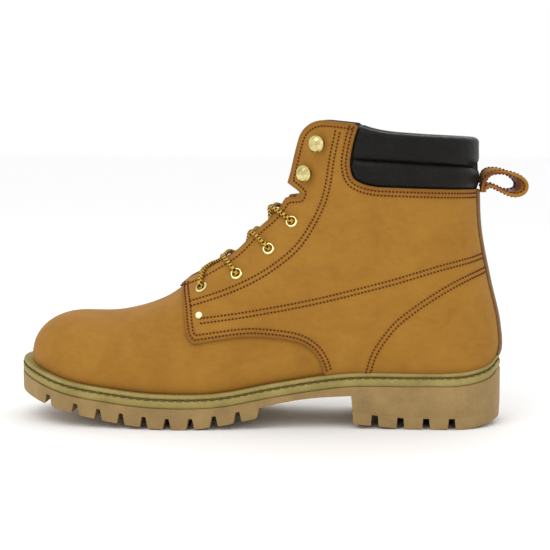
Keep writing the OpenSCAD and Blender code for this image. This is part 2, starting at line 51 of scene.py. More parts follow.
LATERAL, MEDIAL = -1, 1
SIDES = {"lateral": LATERAL, "medial": MEDIAL}

# ---- the last: the shape that the upper is stretched over, as in the CAD ----

TOE_X, HEEL_X = -160.0, 144.8
LAST_PLAN = [
    [38, 40], [43.5, 46.5], [47.2, 49.3], [49, 49.2], [47.7, 45], [43, 38],
    [38.8, 34], [36.8, 33.5], [36, 34.8], [36, 36], [36, 36],
]
# Low end x, z; high end x, z; outer and inner half width; how high the widest point lies
STATIONS = [
    [-160, 38.0, -160, 69, 40, 42, 0.20],
    [-130, 29.5, -130, 69, 45, 48, 0.20],
    [-100, 25.0, -100, 70, 49, 51, 0.20],
    [-70, 22.4, -71, 79, 51, 51, 0.22],
    [-32, 23.0, -48, 96, 49, 47, 0.24],
    [6, 29.5, -26, 114, 45, 42, 0.26],
    [50, 35.5, -10, 131, 41, 39, 0.28],
    [96, 36.0, 0, 146, 38.5, 38, 0.30],
    [128.5, 37.3, 4, 156, 37.5, 37.5, 0.32],
    [144.8, 44, 6, 164, 37, 37, 0.36],
    [145.1, 64, 7, 170, 36.5, 36.5, 0.40],
    [138.6, 92, 8, 176, 36, 36, 0.43],
    [132.2, 124, 9, 183, 36.5, 36.5, 0.45],
    [130.5, 152, 11, 190, 37.5, 37.5, 0.46],
    [129.7, 184, 13, 197, 38.5, 38.5, 0.46],
]
SEAM_STATION = 9
RIM_STATION = len(STATIONS) - 1
TOE_ROUND = {LATERAL: 46.0, MEDIAL: 40.0}
TOE_ROUND_TOP = 34.0
HEEL_ROUND = 38.0
LOW_POWER, HIGH_POWER = 2.2, 2.15


def along(rows, u):
    """The smooth curve through rows at place u, where row i is at u = i."""
    rows = np.asarray(rows, float)
    last = len(rows) - 1
    v = np.clip(np.asarray(u, float), 0, last - 1e-6)
    i = np.floor(v).astype(int)
    f = (v - i)[..., None]
    p1, p2 = rows[i], rows[i + 1]
    p0 = np.where((i > 0)[..., None], rows[np.maximum(i - 1, 0)], 2 * p1 - p2)
    p3 = np.where((i < last - 1)[..., None], rows[np.minimum(i + 2, last)], 2 * p2 - p1)
    return 0.5 * (2 * p1 + (p2 - p0) * f + (2 * p0 - 5 * p1 + 4 * p2 - p3) * f**2
                  + (3 * p1 - p0 - 3 * p2 + p3) * f**3)


def smooth(rows, steps=4):
    return along(rows, np.linspace(0, len(rows) - 1, (len(rows) - 1) * steps + 1))


def rounded(distance, r, power):
    """0 at a rounded end and 1 once it is r away from it."""
    u = np.clip(1 - distance / r, 0, 1)
    return (1 - u**power) ** (1 / power)


def half_width(rows, x, side, x0, x1):
    w = along(rows, (x - x0) / (x1 - x0) * (len(rows) - 1))
    w = np.where(side == LATERAL, w[..., 0], w[..., 1])
    toe = np.where(side == LATERAL, TOE_ROUND[LATERAL], TOE_ROUND[MEDIAL])
    return w * rounded(x - x0, toe, 2.3) * rounded(x1 - x, HEEL_ROUND, 2.15)


def distance_along(path):
    """How far along a path each of its points lies."""
    return np.concatenate([[0], np.cumsum(np.linalg.norm(np.diff(path, axis=0), axis=1))])


def sampled(path, s, d):
    """The values that a path's rows, which lie at distances d, have at distances s."""
    return np.stack([np.interp(s, d, path[:, k]) for k in range(3)], -1)


def eased(x):
    """A smooth step from 0 at x = 0 to 1 at x = 1."""
    x = np.clip(x, 0, 1)
    return x * x * (3 - 2 * x)


def section(t, side):
    """Low end, high end, half width, widest place and closure of the girth section at station t."""
    k = along(STATIONS, t)
    d = k[..., 0] - TOE_X
    top = k[..., 1] + (k[..., 3] - k[..., 1]) * rounded(d, TOE_ROUND_TOP, 2.4)
    toe = np.where(side == LATERAL, TOE_ROUND[LATERAL], TOE_ROUND[MEDIAL])
    w = np.where(side == LATERAL, k[..., 4], k[..., 5]) * rounded(d, toe, 2.3)
    w0 = np.minimum(half_width(LAST_PLAN, k[..., 0], side, TOE_X, HEEL_X), w)
    w0 = np.where(t < SEAM_STATION, w0, 0)
    closed = 1 - (w0 / np.maximum(w, 0.001)) ** LOW_POWER
    low = np.stack([k[..., 0], k[..., 1]], -1)
    high = np.stack([k[..., 2], top], -1)
    return low, high, w, k[..., 6], closed


def climb(closed, s):
    return (1 - closed) * np.sin(np.pi / 2 * s) + closed * (1 - np.cos(np.pi * s)) / 2


def on_last(t, g):
    """The point at station t on girth place g: -1 outer bottom edge, 0 throat, 1 inner bottom edge."""
    t, g = np.broadcast_arrays(np.asarray(t, float), np.asarray(g, float))
    side = np.where(g < 0, LATERAL, MEDIAL)
    low, high, w, peak, closed = section(t, side)
    c = climb(closed, 1 - np.abs(g))
    under = (1 - closed * np.maximum(1 - c / peak, 0) ** LOW_POWER) ** (1 / LOW_POWER)
    over = np.maximum(1 - np.maximum((c - peak) / (1 - peak), 0) ** HIGH_POWER, 0) ** (1 / HIGH_POWER)
    p = low + (high - low) * c[..., None]
    return np.stack([p[..., 0], side * w * np.where(c < peak, under, over), p[..., 1]], -1)


def unit(v):
    return v / np.maximum(np.linalg.norm(v, axis=-1, keepdims=True), 1e-9)


def normal_at(t, g):
    t, g = np.broadcast_arrays(np.asarray(t, float), np.asarray(g, float))
    a = on_last(np.minimum(t + 0.02, RIM_STATION), g) - on_last(np.maximum(t - 0.02, 0), g)
    b = on_last(t, np.minimum(g + 0.01, 1)) - on_last(t, np.maximum(g - 0.01, -1))
    return unit(np.cross(a, b))


def off_last(t, g, off):
    """The same point moved outward by off."""
    t, g = np.broadcast_arrays(np.asarray(t, float), np.asarray(g, float))
    p = on_last(t, g) + np.asarray(off)[..., None] * normal_at(t, g)
    on_seam = (g == 0) | ((np.abs(g) == 1) & (t >= SEAM_STATION))
    p[..., 1] = np.where(on_seam, 0, p[..., 1])
    return p


# ---- the flat pattern: the upper unrolled, U mm back from the toe and V mm round from the throat ----

T_TABLE = np.linspace(0, RIM_STATION, 2801)
U_TABLE = distance_along(on_last(T_TABLE, -0.4))
GIRTH = 105.0
TOE_TIP_T = 0.0005
RIDGE_G = 0.004


def pattern(t, g):
    t, g = np.broadcast_arrays(np.asarray(t, float), np.asarray(g, float))
    return np.stack([np.interp(t, T_TABLE, U_TABLE), g * GIRTH], -1)


def unpattern(uv):
    return np.interp(uv[..., 0], U_TABLE, T_TABLE), np.clip(uv[..., 1] / GIRTH, -1, 1)


def dense(line, step):
    """A line with points put in so that none are more than step apart."""
    line = np.asarray(line, float)
    out = [line[:1]]
    for a, b in zip(line[:-1], line[1:]):
        n = max(1, math.ceil(np.linalg.norm(b - a) / step))
        out.append(a + (b - a) * np.linspace(0, 1, n + 1)[1:, None])
    return np.concatenate(out)


def place(side, line):
    """Station and girth place of points [x, z] seen from the side, kept on the last."""
    line = np.asarray(line, float)
    low, high, _, _, _ = section(T_TABLE, side)
    run = high - low
    rel = line[:, None, :] - low[None]
    turn = run[None, :, 0] * rel[..., 1] - run[None, :, 1] * rel[..., 0]
    passed = turn[:, 1:] > 0
    i = np.where(passed.any(1), passed.argmax(1), len(T_TABLE) - 2)
    rows = np.arange(len(line))
    a, b = turn[rows, i], turn[rows, i + 1]
    f = np.clip(a / np.where(np.abs(a - b) < 1e-9, 1, a - b), 0, 1)
    t = T_TABLE[i] + f * (T_TABLE[i + 1] - T_TABLE[i])
    low, high, _, _, closed = section(t, side)
    run = high - low
    c = np.clip(((line - low) * run).sum(1) / np.maximum((run**2).sum(1), 1e-9), 0, 1)
    s0, s1 = np.zeros(len(line)), np.ones(len(line))
    for _ in range(40):
        mid = (s0 + s1) / 2
        less = climb(closed, mid) < c
        s0, s1 = np.where(less, mid, s0), np.where(less, s1, mid)
    return t, side * (1 - np.minimum(mid, 1 - RIDGE_G))


def laid(side, line, step=1.6):
    """A line [x, z] seen from the side, laid on the flat pattern."""
    return pattern(*place(side, dense(line, step)))


BATCH = 3000


def distance_to(points, line, closed=False):
    """How far each 2D point is from a line."""
    line = np.asarray(line, float)
    a = line if closed else line[:-1]
    b = np.roll(line, -1, 0) if closed else line[1:]
    ab = b - a
    length = np.maximum((ab**2).sum(1), 1e-12)
    out = np.empty(len(points))
    for i in range(0, len(points), BATCH):
        p = points[i:i + BATCH, None, :]
        f = np.clip(((p - a) * ab).sum(2) / length, 0, 1)
        out[i:i + BATCH] = np.sqrt((((a + f[..., None] * ab) - p) ** 2).sum(2).min(1))
    return out


def inside(points, loop):
    """Which 2D points lie inside a loop."""
    a, b = loop, np.roll(loop, -1, 0)
    out = np.zeros(len(points), bool)
    for i in range(0, len(points), BATCH):
        x, y = points[i:i + BATCH, 0, None], points[i:i + BATCH, 1, None]
        crosses = (a[:, 1] > y) != (b[:, 1] > y)
        dy = np.where(b[:, 1] == a[:, 1], 1e-12, b[:, 1] - a[:, 1])
        at_x = a[:, 0] + (y - a[:, 1]) * (b[:, 0] - a[:, 0]) / dy
        out[i:i + BATCH] = (crosses & (x < at_x)).sum(1) % 2 == 1
    return out


def beside(line, off):
    """A line moved sideways by off."""
    line = np.asarray(line, float)
    way = unit(np.gradient(line, axis=0))
    return line + off * np.stack([-way[:, 1], way[:, 0]], -1)


# ---- making meshes ----

def piece(name, verts, faces, material, body="boot", replaces=(), sharp=60, edge=None):
    """A named mesh from points in mm, riding on a CAD body."""
    mesh = bpy.data.meshes.new(name)
    mesh.from_pydata((np.asarray(verts) * MM).tolist(), [], faces)
    mesh.validate()
    mesh.shade_smooth()
    mesh.set_sharp_from_angle(angle=math.radians(sharp))
    if edge is not None and len(edge) == len(mesh.vertices):
        mesh.attributes.new("edge", "FLOAT", "POINT").data.foreach_set("value", edge.astype(np.float32))
    obj = bpy.data.objects.new(name, mesh)
    bpy.context.scene.collection.objects.link(obj)
    mesh.materials.append(material)
    if body:
        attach(obj, body)
    if replaces:
        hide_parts(*replaces)
    return obj


def merged(verts, faces, near=0.002):
    """The same mesh with points that coincide made one, and the faces that this flattens left out."""
    key = np.round(np.asarray(verts) / near).astype(np.int64)
    _, first, back = np.unique(key, axis=0, return_index=True, return_inverse=True)
    back = back.reshape(-1)
    kept = []
    for f in faces:
        g = [int(back[i]) for i in f]
        g = [v for i, v in enumerate(g) if v != g[i - 1]]
        if len(set(g)) >= 3 and len(set(g)) == len(g):
            kept.append(g)
    return np.asarray(verts)[first], kept, first


def cut_flat(loop, spacing, rows):
    """Triangles over the flat pattern inside a loop, with extra points along rows."""
    lo, hi = loop.min(0), loop.max(0)
    u, v = np.meshgrid(np.arange(lo[0], hi[0], spacing), np.arange(lo[1], hi[1], spacing * 0.87))
    u[::2] += spacing / 2
    grid = np.stack([u.ravel(), v.ravel()], -1)
    extra = np.concatenate(rows) if rows else np.zeros((0, 2))
    if len(extra):
        extra = extra[inside(extra, loop)]
        extra = extra[distance_to(extra, loop, True) > 0.5]
        grid = grid[np.concatenate([
            np.linalg.norm(grid[i:i + BATCH, None] - extra[None], axis=2).min(1) > 0.6 * spacing
            for i in range(0, len(grid), BATCH)])]
    grid = grid[inside(grid, loop)]
    grid = grid[distance_to(grid, loop, True) > 0.55 * spacing]
    points = np.concatenate([loop, extra, grid])
    out = delaunay_2d_cdt([Vector(p) for p in points], [], [list(range(len(loop)))], 1, 1e-5)
    return np.array([tuple(p) for p in out[0]]), [tuple(f) for f in out[2]]


def panel(loop, outer, inner, spacing=2.2, rows=(), round_out=0.5, ring=3):
    """A closed piece over the last: a loop on the flat pattern, the lifts of its two faces as functions
    of t, g and [x, z], and walls between them that bulge by round_out mm."""
    keep = np.linalg.norm(loop - np.roll(loop, 1, 0), axis=1) > 0.05
    loop = loop[keep]
    uv, tris = cut_flat(loop, spacing, list(rows))
    t, g = unpattern(uv)
    at = on_last(t, g)[:, [0, 2]]
    tip = t <= TOE_TIP_T * 1.5
    faces_at = []
    for lift in (outer, inner):
        off = lift(t, g, at)
        p = off_last(t, g, off)
        p[tip] = on_last(0, 0) - np.stack([off[tip], 0 * off[tip], 0 * off[tip]], -1)
        faces_at.append(p)
    out, back = faces_at
    tris = np.array(tris)
    flip = ((np.cross(out[tris[:, 1]] - out[tris[:, 0]], out[tris[:, 2]] - out[tris[:, 0]])
             * (out - back)[tris[:, 0]]).sum() < 0)
    if flip:
        tris = tris[:, ::-1]
    edges = np.concatenate([tris[:, [0, 1]], tris[:, [1, 2]], tris[:, [2, 0]]])
    third = np.concatenate([tris[:, 2], tris[:, 0], tris[:, 1]])
    code = np.minimum(edges[:, 0], edges[:, 1]) * len(uv) + np.maximum(edges[:, 0], edges[:, 1])
    _, where, count = np.unique(code, return_index=True, return_counts=True)
    rim = where[count == 1]
    a, b, c = edges[rim, 0], edges[rim, 1], third[rim]
    way = unit(out[b] - out[a])
    inward = out[c] - out[a]
    outward = -unit(inward - (inward * way).sum(1)[:, None] * way)
    push = np.zeros_like(out)
    np.add.at(push, a, outward)
    np.add.at(push, b, outward)
    push = unit(push)
    on_rim = np.unique(np.concatenate([a, b]))
    verts = [out, back]
    total = 2 * len(uv)
    index = np.full((ring + 2, len(uv)), -1)
    index[0], index[-1] = np.arange(len(uv)), np.arange(len(uv)) + len(uv)
    for k in range(1, ring + 1):
        angle = math.pi * k / (ring + 1)
        middle = (out + back)[on_rim] / 2
        bulge = round_out(at[on_rim]) if callable(round_out) else np.full(len(on_rim), round_out)
        verts.append(middle + (out - back)[on_rim] / 2 * math.cos(angle)
                     + push[on_rim] * (bulge * math.sin(angle))[:, None])
        index[k, on_rim] = total + np.arange(len(on_rim))
        total += len(on_rim)
    faces = [tuple(f) for f in tris] + [tuple(f[::-1] + len(uv)) for f in tris]
    for k in range(ring + 1):
        faces += list(zip(index[k, b], index[k, a], index[k + 1, a], index[k + 1, b]))
    verts = np.concatenate(verts)
    near_edge = np.exp(-distance_to(uv, loop, True) / 1.6)
    edge = np.concatenate([near_edge, near_edge, np.ones(total - 2 * len(uv))])
    verts, faces, kept = merged(verts, faces)
    return verts, faces, edge[kept]


def outward(verts, faces):
    """The same closed mesh with its faces turned, if need be, so that their normals point out."""
    tris = np.array([(f[0], f[i], f[i + 1]) for f in faces for i in range(1, len(f) - 1)])
    a, b, c = verts[tris[:, 0]], verts[tris[:, 1]], verts[tris[:, 2]]
    if (np.cross(a, b) * c).sum() < 0:
        faces = [f[::-1] for f in faces]
    return verts, faces


def joined(parts):
    """Several (verts, faces) as one."""
    verts, faces, start = [], [], 0
    for v, f in parts:
        verts.append(np.asarray(v))
        faces += [tuple(int(i) + start for i in face) for face in f]
        start += len(v)
    return np.concatenate(verts), faces


def grid_solid(out, back):
    """A closed solid between two grids of points, shaped (n, m, 3)."""
    n, m = out.shape[:2]
    i, j = np.meshgrid(np.arange(n - 1), np.arange(m - 1), indexing="ij")
    a = (i * m + j).ravel()
    quads = np.stack([a, a + 1, a + m + 1, a + m], -1)
    faces = [tuple(q) for q in quads] + [tuple(q[::-1] + n * m) for q in quads]
    border = [(0, j) for j in range(m)] + [(i, m - 1) for i in range(1, n)]
    border += [(n - 1, j) for j in range(m - 2, -1, -1)] + [(i, 0) for i in range(n - 2, 0, -1)]
    ids = [i * m + j for i, j in border]
    for p, q in zip(ids, ids[1:] + ids[:1]):
        faces.append((q, p, p + n * m, q + n * m))
    verts = np.concatenate([out.reshape(-1, 3), back.reshape(-1, 3)])
    centre = out.reshape(-1, 3)
    n0 = np.cross(centre[quads[:, 1]] - centre[quads[:, 0]], centre[quads[:, 3]] - centre[quads[:, 0]])
    if (n0 * (out - back).reshape(-1, 3)[quads[:, 0]]).sum() < 0:
        faces = [f[::-1] for f in faces]
    return verts, faces


START_ACROSS = (0.31, 0.42, 0.85)


def frames_along(path):
    """Two cross directions, square to the path and to each other, carried along it without twist."""
    way = unit(np.gradient(path, axis=0))
    side = np.zeros_like(path)
    u = np.array(START_ACROSS)
    for i, w in enumerate(way):
        u = u - (u @ w) * w
        u = u / np.linalg.norm(u)
        side[i] = u
    return side, np.cross(way, side)


def evenly(path, step):
    """A path cut into equal steps."""
    d = distance_along(path)
    return sampled(path, np.linspace(0, d[-1], max(2, round(d[-1] / step)) + 1), d)


def swept(path, radius, around):
    """A closed tube: radius is a function of place along in mm and angle, as arrays."""
    u, v = frames_along(path)
    a = np.linspace(0, 2 * math.pi, around, endpoint=False)
    r = radius(distance_along(path)[:, None], a[None])
    rings = path[:, None] + r[..., None] * (np.cos(a)[None, :, None] * u[:, None]
                                            + np.sin(a)[None, :, None] * v[:, None])
    n = len(path)
    i, j = np.meshgrid(np.arange(n - 1), np.arange(around), indexing="ij")
    a0, b0 = (i * around + j).ravel(), (i * around + (j + 1) % around).ravel()
    faces = [tuple(q) for q in np.stack([a0, b0, b0 + around, a0 + around], -1)]
    faces += [tuple(range(around - 1, -1, -1)), tuple((n - 1) * around + k for k in range(around))]
    return rings.reshape(-1, 3), faces


# ---- outlines seen from the side, as [x, z], as in the CAD ----

EYESTAY_EDGE = smooth([[-60, 89], [-49, 93.5], [-36, 100.5], [-21, 110.5], [-8, 124], [4, 135], [10.5, 145]])
NOTCH_EDGE = np.array([[10.5, 145], [19.5, 146], [20.7, 148.5], [17, 151.5], [11.8, 155]])
FLAP_EDGE = smooth([[11.8, 155], [14, 162.5], [17, 175], [20.5, 186], [26, 192], [33, 194.5], [42, 194.2],
                    [54, 192.8]])
COLLAR_FRONT = smooth([[56, 191], [53.5, 183], [51.2, 171], [51.4, 164], [54, 158], [61, 154.5], [69, 153]])
COLLAR_BOTTOM = np.array([[69, 153], [96, 152], [129.2, 150.7]])
QUARTER_FRONT = smooth([[-57.5, 88], [-54, 77], [-52, 65], [-50.3, 58.5], [-46.5, 54.4]])
QUARTER_SWEEP = smooth([[-46.5, 54.4], [-31, 57], [-12, 59.4], [6, 58.4], [19, 56], [28, 51], [33, 44],
                        [36, 35.5]])
FACING_EDGE = smooth([[-49, 76], [-31, 84], [-14, 91.5], [2, 101], [17, 113], [27.5, 128], [34.6, 143],
                      [38, 156], [40, 171], [44.5, 187]])
VAMP_BACK = smooth([[-53, 100], [-46, 84], [-40, 70], [-30, 64.5], [-10, 66], [10, 66], [27, 62], [38, 54],
                    [44, 44], [45, 36]])
LINING_FRONT = smooth([[-60, 94], [-54, 77], [-52, 65], [-45, 50], [-27, 40], [-26, 24]])
# The lines of sewing, which are drawn as single or double rows of stitches
LONG_SEAM = smooth([[-43, 68], [-9.5, 73.4], [32, 81.6], [74, 92.4], [105.4, 101.9], [133.4, 108.2]])
COUNTER_SEAM = smooth([[63.2, 35.2], [66.3, 46], [71.5, 55.4], [80.4, 66.7], [91, 75.5], [102, 83.3],
                       [114, 90.6], [126.3, 96.3], [136.2, 99.6]])
EYESTAY_SEAM = smooth([[-50, 77.6], [-31, 84.2], [-14, 91.5], [2, 100.9], [17.2, 113.4], [27.4, 128],
                       [34.6, 142.8], [38.1, 155.9], [40.3, 170.8], [44.4, 190]])
COLLAR_GROOVE = np.array([[50, 170.8], [80, 169.2], [110, 167.2], [131, 165.4]])
COLLAR_TOP = smooth([[55.4, 188.6], [64, 186.0], [75, 184.0], [95, 182.4], [112, 181.6], [129.6, 181.0]])

QUARTER_LIFT, QUARTER_T = 0.35, 1.6
VAMP_T = 2.0
PADDING_T = 2.5
LINING_LIFT, LINING_T = 2.6, 0.9
ROW_GAP = 2.9


def flat(value):
    return lambda t, g, at: np.full(np.shape(t), float(value))


def bottom_edge(side, x0, x1):
    """The upper's bottom edge between two places along X, on the flat pattern."""
    t = T_TABLE[(T_TABLE > 0.05) & (T_TABLE <= SEAM_STATION)]
    x = section(t, side)[0][:, 0]
    t = t[(x > x0) & (x < x1)]
    return dense(pattern(t, np.full(len(t), float(side))), 1.6)


def back_edge(side, t0, t1):
    """The back seam between two stations, on the flat pattern."""
    t = np.linspace(t0, t1, 90)
    return pattern(t, np.full(len(t), float(side)))


def collar_station():
    """The station where the collar's bottom line meets the back seam."""
    t = np.linspace(SEAM_STATION, RIM_STATION, 400)
    return float(np.interp(COLLAR_BOTTOM[-1, 1], on_last(t, -1.0)[:, 2], t))


def throat(side):
    """From the collar's top round the flap and down the eyestay, on the flat pattern."""
    return np.concatenate([laid(side, FLAP_EDGE[::-1], 1.2), laid(side, NOTCH_EDGE[::-1], 0.8)[1:],
                           laid(side, EYESTAY_EDGE[::-1], 1.2)[1:]])


def flank_loop(side, front, front_end):
    """A side of the upper: down its front line, along the sole, up the back seam, round the collar."""
    return np.concatenate([front, bottom_edge(side, front_end, HEEL_X),
                           back_edge(side, SEAM_STATION, collar_station()), laid(side, COLLAR_BOTTOM[::-1]),
                           laid(side, COLLAR_FRONT[::-1])[1:], throat(side)])


def double(line):
    """The two rows of a double seam."""
    return [beside(line, ROW_GAP / 2), beside(line, -ROW_GAP / 2)]


THROAT_ROW, QUARTER_ROWS, COLLAR_ROWS = 3.2, (2.0, 4.7), (-2.0, -4.6)
THROAT_LINE = np.concatenate([FLAP_EDGE[::-1], NOTCH_EDGE[::-1][1:], EYESTAY_EDGE[::-1][1:]])


def inset_row(line, off):
    """A row of stitches that keeps off mm inside a line, with its folds at sharp corners left out."""
    row = beside(dense(line, 1.0), off)
    return row[distance_to(row, line) > abs(off) - 0.15]


QUARTER_EDGE = np.concatenate([QUARTER_FRONT, QUARTER_SWEEP[1:]])
COLLAR_EDGE = np.concatenate([COLLAR_FRONT, COLLAR_BOTTOM[1:]])


def quarter_rows():
    """Every row of stitches on a quarter, as lines [x, z]."""
    rows = double(LONG_SEAM) + double(COUNTER_SEAM) + double(EYESTAY_SEAM)
    rows += [inset_row(QUARTER_EDGE, off) for off in QUARTER_ROWS]
    rows += [inset_row(COLLAR_EDGE, off) for off in COLLAR_ROWS]
    return rows + [inset_row(THROAT_LINE, THROAT_ROW)]


DENT, DENT_W = 0.32, 0.75


def quarter_outer(t, g, at):
    """The lift of a quarter's face, which sinks along its rows of stitches."""
    d = np.min([distance_to(at, row) for row in quarter_rows()], axis=0)
    return QUARTER_LIFT + QUARTER_T - DENT * np.exp(-((d / DENT_W) ** 2))


def row_points(side, rows, offsets, step):
    """Points along rows, and beside them at offsets, on the flat pattern."""
    return [laid(side, beside(dense(row, step), off), step) for row in rows for off in offsets]


def make_quarter(name, side, material):
    loop = flank_loop(side, laid(side, QUARTER_EDGE, 1.2), QUARTER_SWEEP[-1, 0])
    rows = row_points(side, quarter_rows(), (-0.9, 0, 0.9), 2.0)
    verts, faces, edge = panel(loop, quarter_outer, flat(QUARTER_LIFT), rows=rows)
    return piece("leather_" + name, verts, faces, material, replaces=[name], edge=edge)


def make_vamp(material):
    outer, inner = (np.concatenate([bottom_edge(side, TOE_X, VAMP_BACK[-1, 0]), laid(side, VAMP_BACK[::-1])])
                    for side in (LATERAL, MEDIAL))
    tip = pattern(np.full(60, TOE_TIP_T), np.linspace(1, -1, 60))
    loop = np.concatenate([outer, inner[::-1], tip])
    verts, faces, edge = panel(loop, flat(0), flat(-VAMP_T), spacing=2.4)
    return piece("leather_vamp", verts, faces, material, replaces=["vamp"], edge=edge)


def make_lining(name, side, material):
    loop = flank_loop(side, laid(side, LINING_FRONT), LINING_FRONT[-1, 0])
    verts, faces, edge = panel(loop, flat(-LINING_LIFT), flat(-LINING_LIFT - LINING_T), spacing=3.2)
    return piece("cloth_" + name, verts, faces, material, replaces=[name], edge=edge)


def make_facing(name, side, material):
    loop = np.concatenate([laid(side, FACING_EDGE + [0, 1]), throat(side)])
    verts, faces, edge = panel(loop, flat(-0.05), flat(-PADDING_T), spacing=2.8)
    return piece("leather_" + name, verts, faces, material, replaces=[name], edge=edge)


BACKSTAY_HALF_G = 0.07
BACKSTAY_LIFT, BACKSTAY_T = 2.05, 1.2


def make_backstay(material):
    """A strip over the back seam, from the welt to the collar, thinned towards its edges."""
    t = np.linspace(SEAM_STATION + 0.05, collar_station() - 0.02, 90)
    w = np.linspace(-1, 1, 21)
    g = np.where(w < 0, -(1 - BACKSTAY_HALF_G * np.abs(w)), 1 - BACKSTAY_HALF_G * np.abs(w))
    tt, gg = np.meshgrid(t, g, indexing="ij")
    n = normal_at(tt, gg)
    seam = len(w) // 2
    n[:, seam] = unit(n[:, seam - 1] + n[:, seam + 1])
    p = on_last(tt, gg)
    p[:, seam, 1] = 0
    thick = BACKSTAY_T * (1 - np.abs(w) ** 6 * 0.6)[None, :, None]
    verts, faces = grid_solid(p + n * (BACKSTAY_LIFT + thick), p + n * BACKSTAY_LIFT)
    return piece("leather_backstay", verts, faces, material, replaces=["backstay"])


# ---- collar ----

COLLAR_IN, COLLAR_BASE, ROLL_H, ROLL_R = 6.5, -1.4, 4.5, 7.6


def roll(d, r):
    """0 at a roll's sewn edge, rising in a quarter circle to 1 at r from it."""
    u = np.clip(d / r, 0, 1)
    return np.sqrt(np.maximum(1 - (1 - u) ** 2, 0))


def creases(at, y):
    """Small soft wrinkles that run down the rolls."""
    x = at[:, 0] + 0.35 * y
    return 0.16 * np.sin(x * 0.9 + 2.2 * np.sin(x * 0.21)) * np.sin(at[:, 1] * 0.33 + x * 0.05)


def collar_half(side):
    """One half of the padded collar, as the loop of its outer face on the flat pattern."""
    below_top = COLLAR_FRONT[:, 1] < COLLAR_TOP[0, 1] - 0.8
    front = laid(side, (COLLAR_FRONT[below_top] + [0.4, 0.4])[::-1])
    bottom = laid(side, (COLLAR_BOTTOM + [0, 0.4])[::-1])
    seam = T_TABLE[T_TABLE > SEAM_STATION]
    heights = [COLLAR_TOP[-1, 1], COLLAR_BOTTOM[-1, 1] + 0.4]
    high, low = np.interp(heights, on_last(seam, -1.0)[:, 2], seam)
    return np.concatenate([bottom, front[1:], laid(side, COLLAR_TOP), back_edge(side, high, low)])


def collar_outer(t, g, at):
    """The lift of the collar's face: two rolls, with a groove between them."""
    edge_part = roll(distance_to(at, COLLAR_EDGE), ROLL_R)
    groove_part = roll(distance_to(at, COLLAR_GROOVE) + 0.25, ROLL_R * 0.9)
    return COLLAR_BASE + ROLL_H * edge_part * groove_part + creases(at, off_last(t, g, 0)[:, 1])


def collar_bulge(at):
    """How far the collar's walls stand out: full along its top, and tight where it is sewn down."""
    rim_z = np.interp(at[:, 0], COLLAR_TOP[:, 0], COLLAR_TOP[:, 1])
    return np.where(at[:, 1] > rim_z - 2, 3.4, 0.1)


def make_collar(material):
    halves = []
    for side in (LATERAL, MEDIAL):
        rows = row_points(side, [COLLAR_GROOVE], (-3.6, -2.2, -1.1, -0.45, 0, 0.45, 1.1, 2.2, 3.6), 1.6)
        rows += row_points(side, [COLLAR_EDGE], (0.8, 1.8, 3.0, 4.6), 1.6)
        halves.append(panel(collar_half(side), collar_outer, flat(-COLLAR_IN), spacing=2.0, rows=rows,
                            round_out=collar_bulge, ring=7)[:2])
    verts, faces = merged(*joined(halves), 0.02)[:2]
    obj = piece("padded_collar", verts, faces, material, replaces=["collar_pad"])
    return obj


# ---- sewing ----

STITCH_PITCH, STITCH_L, THREAD_R = 2.25, 1.35, 0.54
STITCH_SIDES = 6


def stitches_on(points, normals, pitch=STITCH_PITCH, length=STITCH_L, r=THREAD_R):
    """Stitches along a path: each is a short thread that comes up, lies on the leather and dives back."""
    d = distance_along(points)
    count = int(d[-1] // pitch)
    if count < 1:
        return np.zeros((0, 3)), []
    start = (np.arange(count) + 0.5) * pitch - length / 2
    first, second = sampled(points, start, d), sampled(points, start + length, d)
    n = unit(sampled(normals, start + length / 2, d))
    way = unit(second - first)
    across = np.cross(way, n)
    middle = (first + second) / 2
    places = np.array([-0.5, -0.4, -0.15, 0.15, 0.4, 0.5]) * length
    heights = np.array([-0.3, 0.12, 0.3, 0.3, 0.12, -0.3])
    radii = np.array([0.6, 0.95, 1.0, 1.0, 0.95, 0.6]) * r
    a = np.linspace(0, 2 * math.pi, STITCH_SIDES, endpoint=False)[None, None, :, None]
    ring = np.cos(a) * n[:, None, None] + np.sin(a) * across[:, None, None]
    centre = middle[:, None] + places[None, :, None] * way[:, None] + heights[None, :, None] * n[:, None]
    verts = (centre[:, :, None] + ring * radii[None, :, None, None]).reshape(-1, 3)
    faces = []
    for base in range(0, len(verts), STITCH_SIDES * len(places)):
        for row in range(base, base + STITCH_SIDES * (len(places) - 1), STITCH_SIDES):
            for j in range(STITCH_SIDES):
                p, q = row + j, row + (j + 1) % STITCH_SIDES
                faces.append((p, q, q + STITCH_SIDES, p + STITCH_SIDES))
        faces.append(tuple(range(base + STITCH_SIDES - 1, base - 1, -1)))
        faces.append(tuple(row + STITCH_SIDES + j for j in range(STITCH_SIDES)))
    return verts, faces


def sewn(side, row, lift):
    """Stitches along a line [x, z] on one side of the upper, at a lift off the last."""
    t, g = place(side, dense(row, 0.8))
    return stitches_on(off_last(t, g, lift), normal_at(t, g))


def make_quarter_sewing(name, side, material):
    lift = QUARTER_LIFT + QUARTER_T - DENT * 0.6
    parts = [sewn(side, row, lift) for row in quarter_rows()]
    verts, faces = joined([p for p in parts if len(p[0])])
    return piece("sewing_" + name, verts, faces, material)


# ---- sole ----

